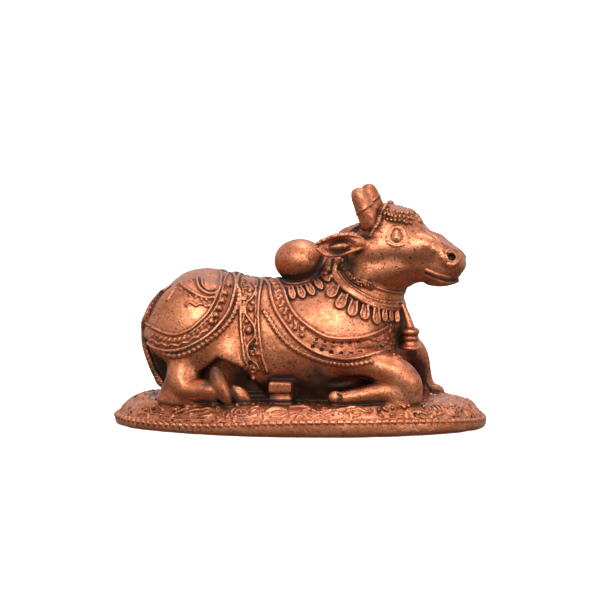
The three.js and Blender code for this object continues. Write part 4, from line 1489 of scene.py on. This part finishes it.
def makePiece(name, chosen):
    faces = quads[chosen]
    used, index = np.unique(faces, return_inverse=True)
    faces = index.reshape(faces.shape)
    mesh = bpy.data.meshes.new(name)
    mesh.vertices.add(len(used))
    mesh.vertices.foreach_set("co", (points[used] * 0.001).astype(np.float32).ravel())
    mesh.loops.add(faces.size)
    mesh.loops.foreach_set("vertex_index", faces.astype(np.int32).ravel())
    mesh.polygons.add(len(faces))
    mesh.polygons.foreach_set("loop_start", np.arange(0, faces.size, 4, dtype=np.int32))
    mesh.polygons.foreach_set("use_smooth", np.ones(len(faces), bool))
    mesh.update(calc_edges=True)
    mesh.validate()
    # the last two carry painted shade, and the last also painted highlights
    for label, values in (("recess", recess), ("edge", edge), ("paintedWideShade", paintedWideShade), ("paintedShadeAndHighlight", paintedShadeAndHighlight)):
        layer = mesh.attributes.new(label, "FLOAT", "POINT")
        layer.data.foreach_set("value", values[used].astype(np.float32))
    mesh.normals_split_custom_set_from_vertices(normals[used].tolist())
    piece = bpy.data.objects.new(name, mesh)
    bpy.context.collection.objects.link(piece)
    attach(piece, "root")
    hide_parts("nandi_bull_figure")
    print(name, len(faces) * 2, "triangles")
    return piece


# Cuts between the pieces, in mm: just above the base's top, under the girth band, and on a
# slant behind the head
parting = {
    "aboveBase": 0.35,
    "girth": -9.8,
    "headUp": 31.5,
    "headAlong": 11.0,
    "headLean": 0.65,
    "headBack": 4.5,
}

middle = points[quads].mean(1)
along, up = middle[:, 0], middle[:, 2]
onBase = up < base["height"] + parting["aboveBase"]
ofHead = (up - parting["headUp"]) + (along - parting["headAlong"]) * parting["headLean"] > 0
onHead = ~onBase & ofHead & (along > parting["headBack"])
onFore = ~onBase & ~onHead & (along > parting["girth"])
onHind = ~onBase & ~onHead & ~onFore
near = middle[:, 1] < 0
pieces = [makePiece(name, chosen) for name, chosen in (
    ("castHead", onHead),
    ("castNearForequarter", onFore & near),
    ("castFarForequarter", onFore & ~near),
    ("castNearHindquarter", onHind & near),
    ("castFarHindquarter", onHind & ~near),
    ("castBaseNear", onBase & near),
    ("castBaseFar", onBase & ~near),
)]


# Copper

finish = {
    # bright also stands for painted highlights, and brown and dark for painted shade
    "bright": (0.73, 0.27, 0.135),  # rubbed edges
    "copper": (0.55, 0.165, 0.066),
    "brown": (0.23, 0.066, 0.027),
    "dark": (0.04, 0.014, 0.008),
    "olive": (0.16, 0.115, 0.05),
    # how fine the patches of each noise are, per metre
    "mottle": 170,
    "wear": 850,
    "grain": 3600,
    "pits": 2300,
    "greening": 95,
    "unevenness": 420,
    "specular": 0.15,
    "lacquer": 0.25,
    "lacquerRoughness": 0.34,
}


def copperMaterial():
    material = bpy.data.materials.new("antiqueCopper")
    material.use_nodes = True
    nodes, links = material.node_tree.nodes, material.node_tree.links
    shader = nodes["Principled BSDF"]
    place = nodes.new("ShaderNodeTexCoord").outputs["Object"]

    def attribute(name):
        node = nodes.new("ShaderNodeAttribute")
        node.attribute_name = name
        return node.outputs["Fac"]

    def noise(scale, detail=3, rough=0.6):
        node = nodes.new("ShaderNodeTexNoise")
        node.inputs["Scale"].default_value = scale
        node.inputs["Detail"].default_value = detail
        node.inputs["Roughness"].default_value = rough
        links.new(place, node.inputs["Vector"])
        return node.outputs["Fac"]

    def weightedSum(parts, offset=0.0):
        # adds up sockets, each times its weight
        total = None
        for socket, weight in parts:
            node = nodes.new("ShaderNodeMath")
            node.operation = "MULTIPLY_ADD"
            links.new(socket, node.inputs[0])
            node.inputs[1].default_value = weight
            if total is None:
                node.inputs[2].default_value = offset
            else:
                links.new(total, node.inputs[2])
            total = node.outputs[0]
        return total

    def ramp(value, stops):
        node = nodes.new("ShaderNodeValToRGB")
        elements = node.color_ramp.elements
        while len(elements) < len(stops):
            elements.new(0.5)
        for element, (position, colour) in zip(elements, stops):
            element.position = position
            element.color = (*colour, 1) if isinstance(colour, tuple) else (colour, colour, colour, 1)
        links.new(value, node.inputs["Fac"])
        return node.outputs["Color"]

    def mix(share, first, second):
        node = nodes.new("ShaderNodeMix")
        node.data_type = "RGBA"
        links.new(share, node.inputs["Factor"])
        for socket, value in ((node.inputs[6], first), (node.inputs[7], second)):
            if isinstance(value, tuple):
                socket.default_value = (*value, 1)
            else:
                links.new(value, socket)
        return node.outputs[2]

    # recess and edge are patina and wear; the wide-hollow attribute and the patches are painted shade, with
    # a few painted highlights
    recessed, crest, paintedWideShadeMask = attribute("recess"), attribute("edge"), attribute("paintedWideShade")
    paintedShadeAndHighlightMask = attribute("paintedShadeAndHighlight")
    mottle, grain = noise(finish["mottle"], 4), noise(finish["grain"], 3, 0.7)
    wear = noise(finish["wear"], 3, 0.6)
    speckle = noise(finish["pits"], 2, 0.5)
    # dark wax and patina sit in the hollows, and crests are rubbed bright; painted shade darkens wide
    # hollows and shadowed patches, and a few patches get painted highlights
    patinaAndPaintedShade = weightedSum([(recessed, 1.25), (crest, -0.2), (paintedWideShadeMask, 0.4), (paintedShadeAndHighlightMask, 1), (mottle, 0.55),
                          (wear, 0.5), (grain, 0.6)], -0.78)
    colour = ramp(patinaAndPaintedShade, [
        (0.0, finish["bright"]),
        (0.16, finish["copper"]),
        (0.42, finish["brown"]),
        (0.72, finish["dark"]),
    ])
    greening = weightedSum([(noise(finish["greening"], 3), 1.6), (recessed, 0.5)], -0.72)
    colour = mix(ramp(greening, [(0.25, 0.0), (0.62, 0.34)]), colour, finish["olive"])
    pitting = weightedSum([(speckle, 1), (wear, 0.35), (mottle, 0.2)], -0.26)
    colour = mix(ramp(pitting, [(0.33, 0.8), (0.42, 0.0)]), colour, finish["dark"])
    links.new(colour, shader.inputs["Base Color"])
    links.new(ramp(patinaAndPaintedShade, [(0.2, 0.97), (0.75, 0.5)]), shader.inputs["Metallic"])
    dullness = weightedSum([(grain, 0.24), (wear, 0.14), (patinaAndPaintedShade, 0.3)], 0.12)
    links.new(dullness, shader.inputs["Roughness"])
    shader.inputs["Specular IOR Level"].default_value = finish["specular"]
    shader.inputs["Coat Weight"].default_value = finish["lacquer"]
    shader.inputs["Coat Roughness"].default_value = finish["lacquerRoughness"]
    # soft unevenness, pits and cast grain: depth in metres and strength
    bumps = ((noise(finish["unevenness"], 2), 0.0004, 0.16), (speckle, 0.00012, 0.5), (grain, 0.00006, 0.6))
    bump = None
    for height, distance, strength in bumps:
        node = nodes.new("ShaderNodeBump")
        node.inputs["Strength"].default_value = strength
        node.inputs["Distance"].default_value = distance
        links.new(height, node.inputs["Height"])
        if bump:
            links.new(bump, node.inputs["Normal"])
        bump = node.outputs["Normal"]
    links.new(bump, shader.inputs["Normal"])
    return material


copper = copperMaterial()
for piece in pieces:
    piece.data.materials.append(copper)


# Floor, lights and camera

studio = {
    "floor": 4.0,  # half its side, in metres
    "floorColour": (0.95, 0.95, 0.95, 1),
    "floorGlow": 0.62,
    # the surroundings, from straight below to straight above
    "air": [(0.0, (0.13, 0.108, 0.09)), (0.22, (0.45, 0.43, 0.41)), (0.36, (0.73, 0.72, 0.73)),
            (0.75, (0.83, 0.85, 0.95))],
    "aim": (0, 0, 0.025),
}


def makeFloor():
    half = studio["floor"]
    mesh = bpy.data.meshes.new("paleFloor")
    corners = [(-half, -half, 0), (half, -half, 0), (half, half, 0), (-half, half, 0)]
    mesh.from_pydata(corners, [], [(0, 1, 2, 3)])
    floor = bpy.data.objects.new("paleFloor", mesh)
    bpy.context.collection.objects.link(floor)
    floor.visible_glossy = False
    material = bpy.data.materials.new("paleSheet")
    material.use_nodes = True
    shader = material.node_tree.nodes["Principled BSDF"]
    shader.inputs["Base Color"].default_value = studio["floorColour"]
    shader.inputs["Roughness"].default_value = 0.9
    shader.inputs["Emission Color"].default_value = (1, 1, 1, 1)
    shader.inputs["Emission Strength"].default_value = studio["floorGlow"]
    mesh.materials.append(material)


def softLight(name, place, size, power, colour=(1, 1, 1)):
    light = bpy.data.lights.new(name, "AREA")
    light.shape = "RECTANGLE"
    light.size, light.size_y = size
    light.energy = power
    light.color = colour
    lamp = bpy.data.objects.new(name, light)
    bpy.context.collection.objects.link(lamp)
    lamp.location = place
    lamp.rotation_euler = (Vector(studio["aim"]) - Vector(place)).to_track_quat("-Z", "Y").to_euler()


def makeStudioAir(tree):
    # pale above, dim below the horizon
    background = tree.nodes["Background"]
    direction = tree.nodes.new("ShaderNodeTexCoord").outputs["Generated"]
    split = tree.nodes.new("ShaderNodeSeparateXYZ")
    tree.links.new(direction, split.inputs[0])
    ramp = tree.nodes.new("ShaderNodeValToRGB")
    ramp.color_ramp.elements.new(0.5)
    ramp.color_ramp.elements.new(0.6)
    for element, (position, colour) in zip(ramp.color_ramp.elements, studio["air"]):
        element.position = position
        element.color = (*colour, 1)
    shift = tree.nodes.new("ShaderNodeMath")
    shift.operation = "MULTIPLY_ADD"
    shift.inputs[1].default_value = 0.5
    shift.inputs[2].default_value = 0.25
    tree.links.new(split.outputs["Z"], shift.inputs[0])
    tree.links.new(shift.outputs[0], ramp.inputs["Fac"])
    tree.links.new(ramp.outputs["Color"], background.inputs["Color"])
    background.inputs["Strength"].default_value = 1.0


makeFloor()
world = bpy.data.worlds.new("studio")
bpy.context.scene.world = world
world.use_nodes = True
makeStudioAir(world.node_tree)
bpy.context.scene.view_settings.view_transform = "Standard"
softLight("keyLight", (0.02, -0.58, 0.45), (0.44, 0.34), 2.25)
softLight("topLight", (0.1, 0.1, 0.9), (0.7, 0.5), 3.0, (0.88, 0.92, 1))
softLight("rightLight", (0.6, -0.5, 0.2), (0.16, 0.4), 0.8)

shot = {
    "pixels": 600,  # across the frame
    "pixelsPerMm": 4.66,
    # pixels from the middle of the base's underside to the middle of the frame
    "aside": -0.5,
    "up": 124.5,
    "distance": 3.0,  # metres
    "sensor": 36,  # mm
}
metresPerPixel = 0.001 / shot["pixelsPerMm"]

camera = bpy.data.cameras.new("camera")
cameraObject = bpy.data.objects.new("camera", camera)
bpy.context.collection.objects.link(cameraObject)
lookAt = Vector(viewUp) * shot["up"] * metresPerPixel
lookAt.x += shot["aside"] * metresPerPixel * viewRight[0]
cameraObject.location = lookAt + Vector(viewToward) * shot["distance"]
cameraObject.rotation_euler = (-Vector(viewToward)).to_track_quat("-Z", "Y").to_euler()
camera.sensor_width = shot["sensor"]
camera.lens = shot["sensor"] * shot["distance"] / (shot["pixels"] * metresPerPixel)
camera.clip_end = 20
bpy.context.scene.camera = cameraObject
print("camera set")
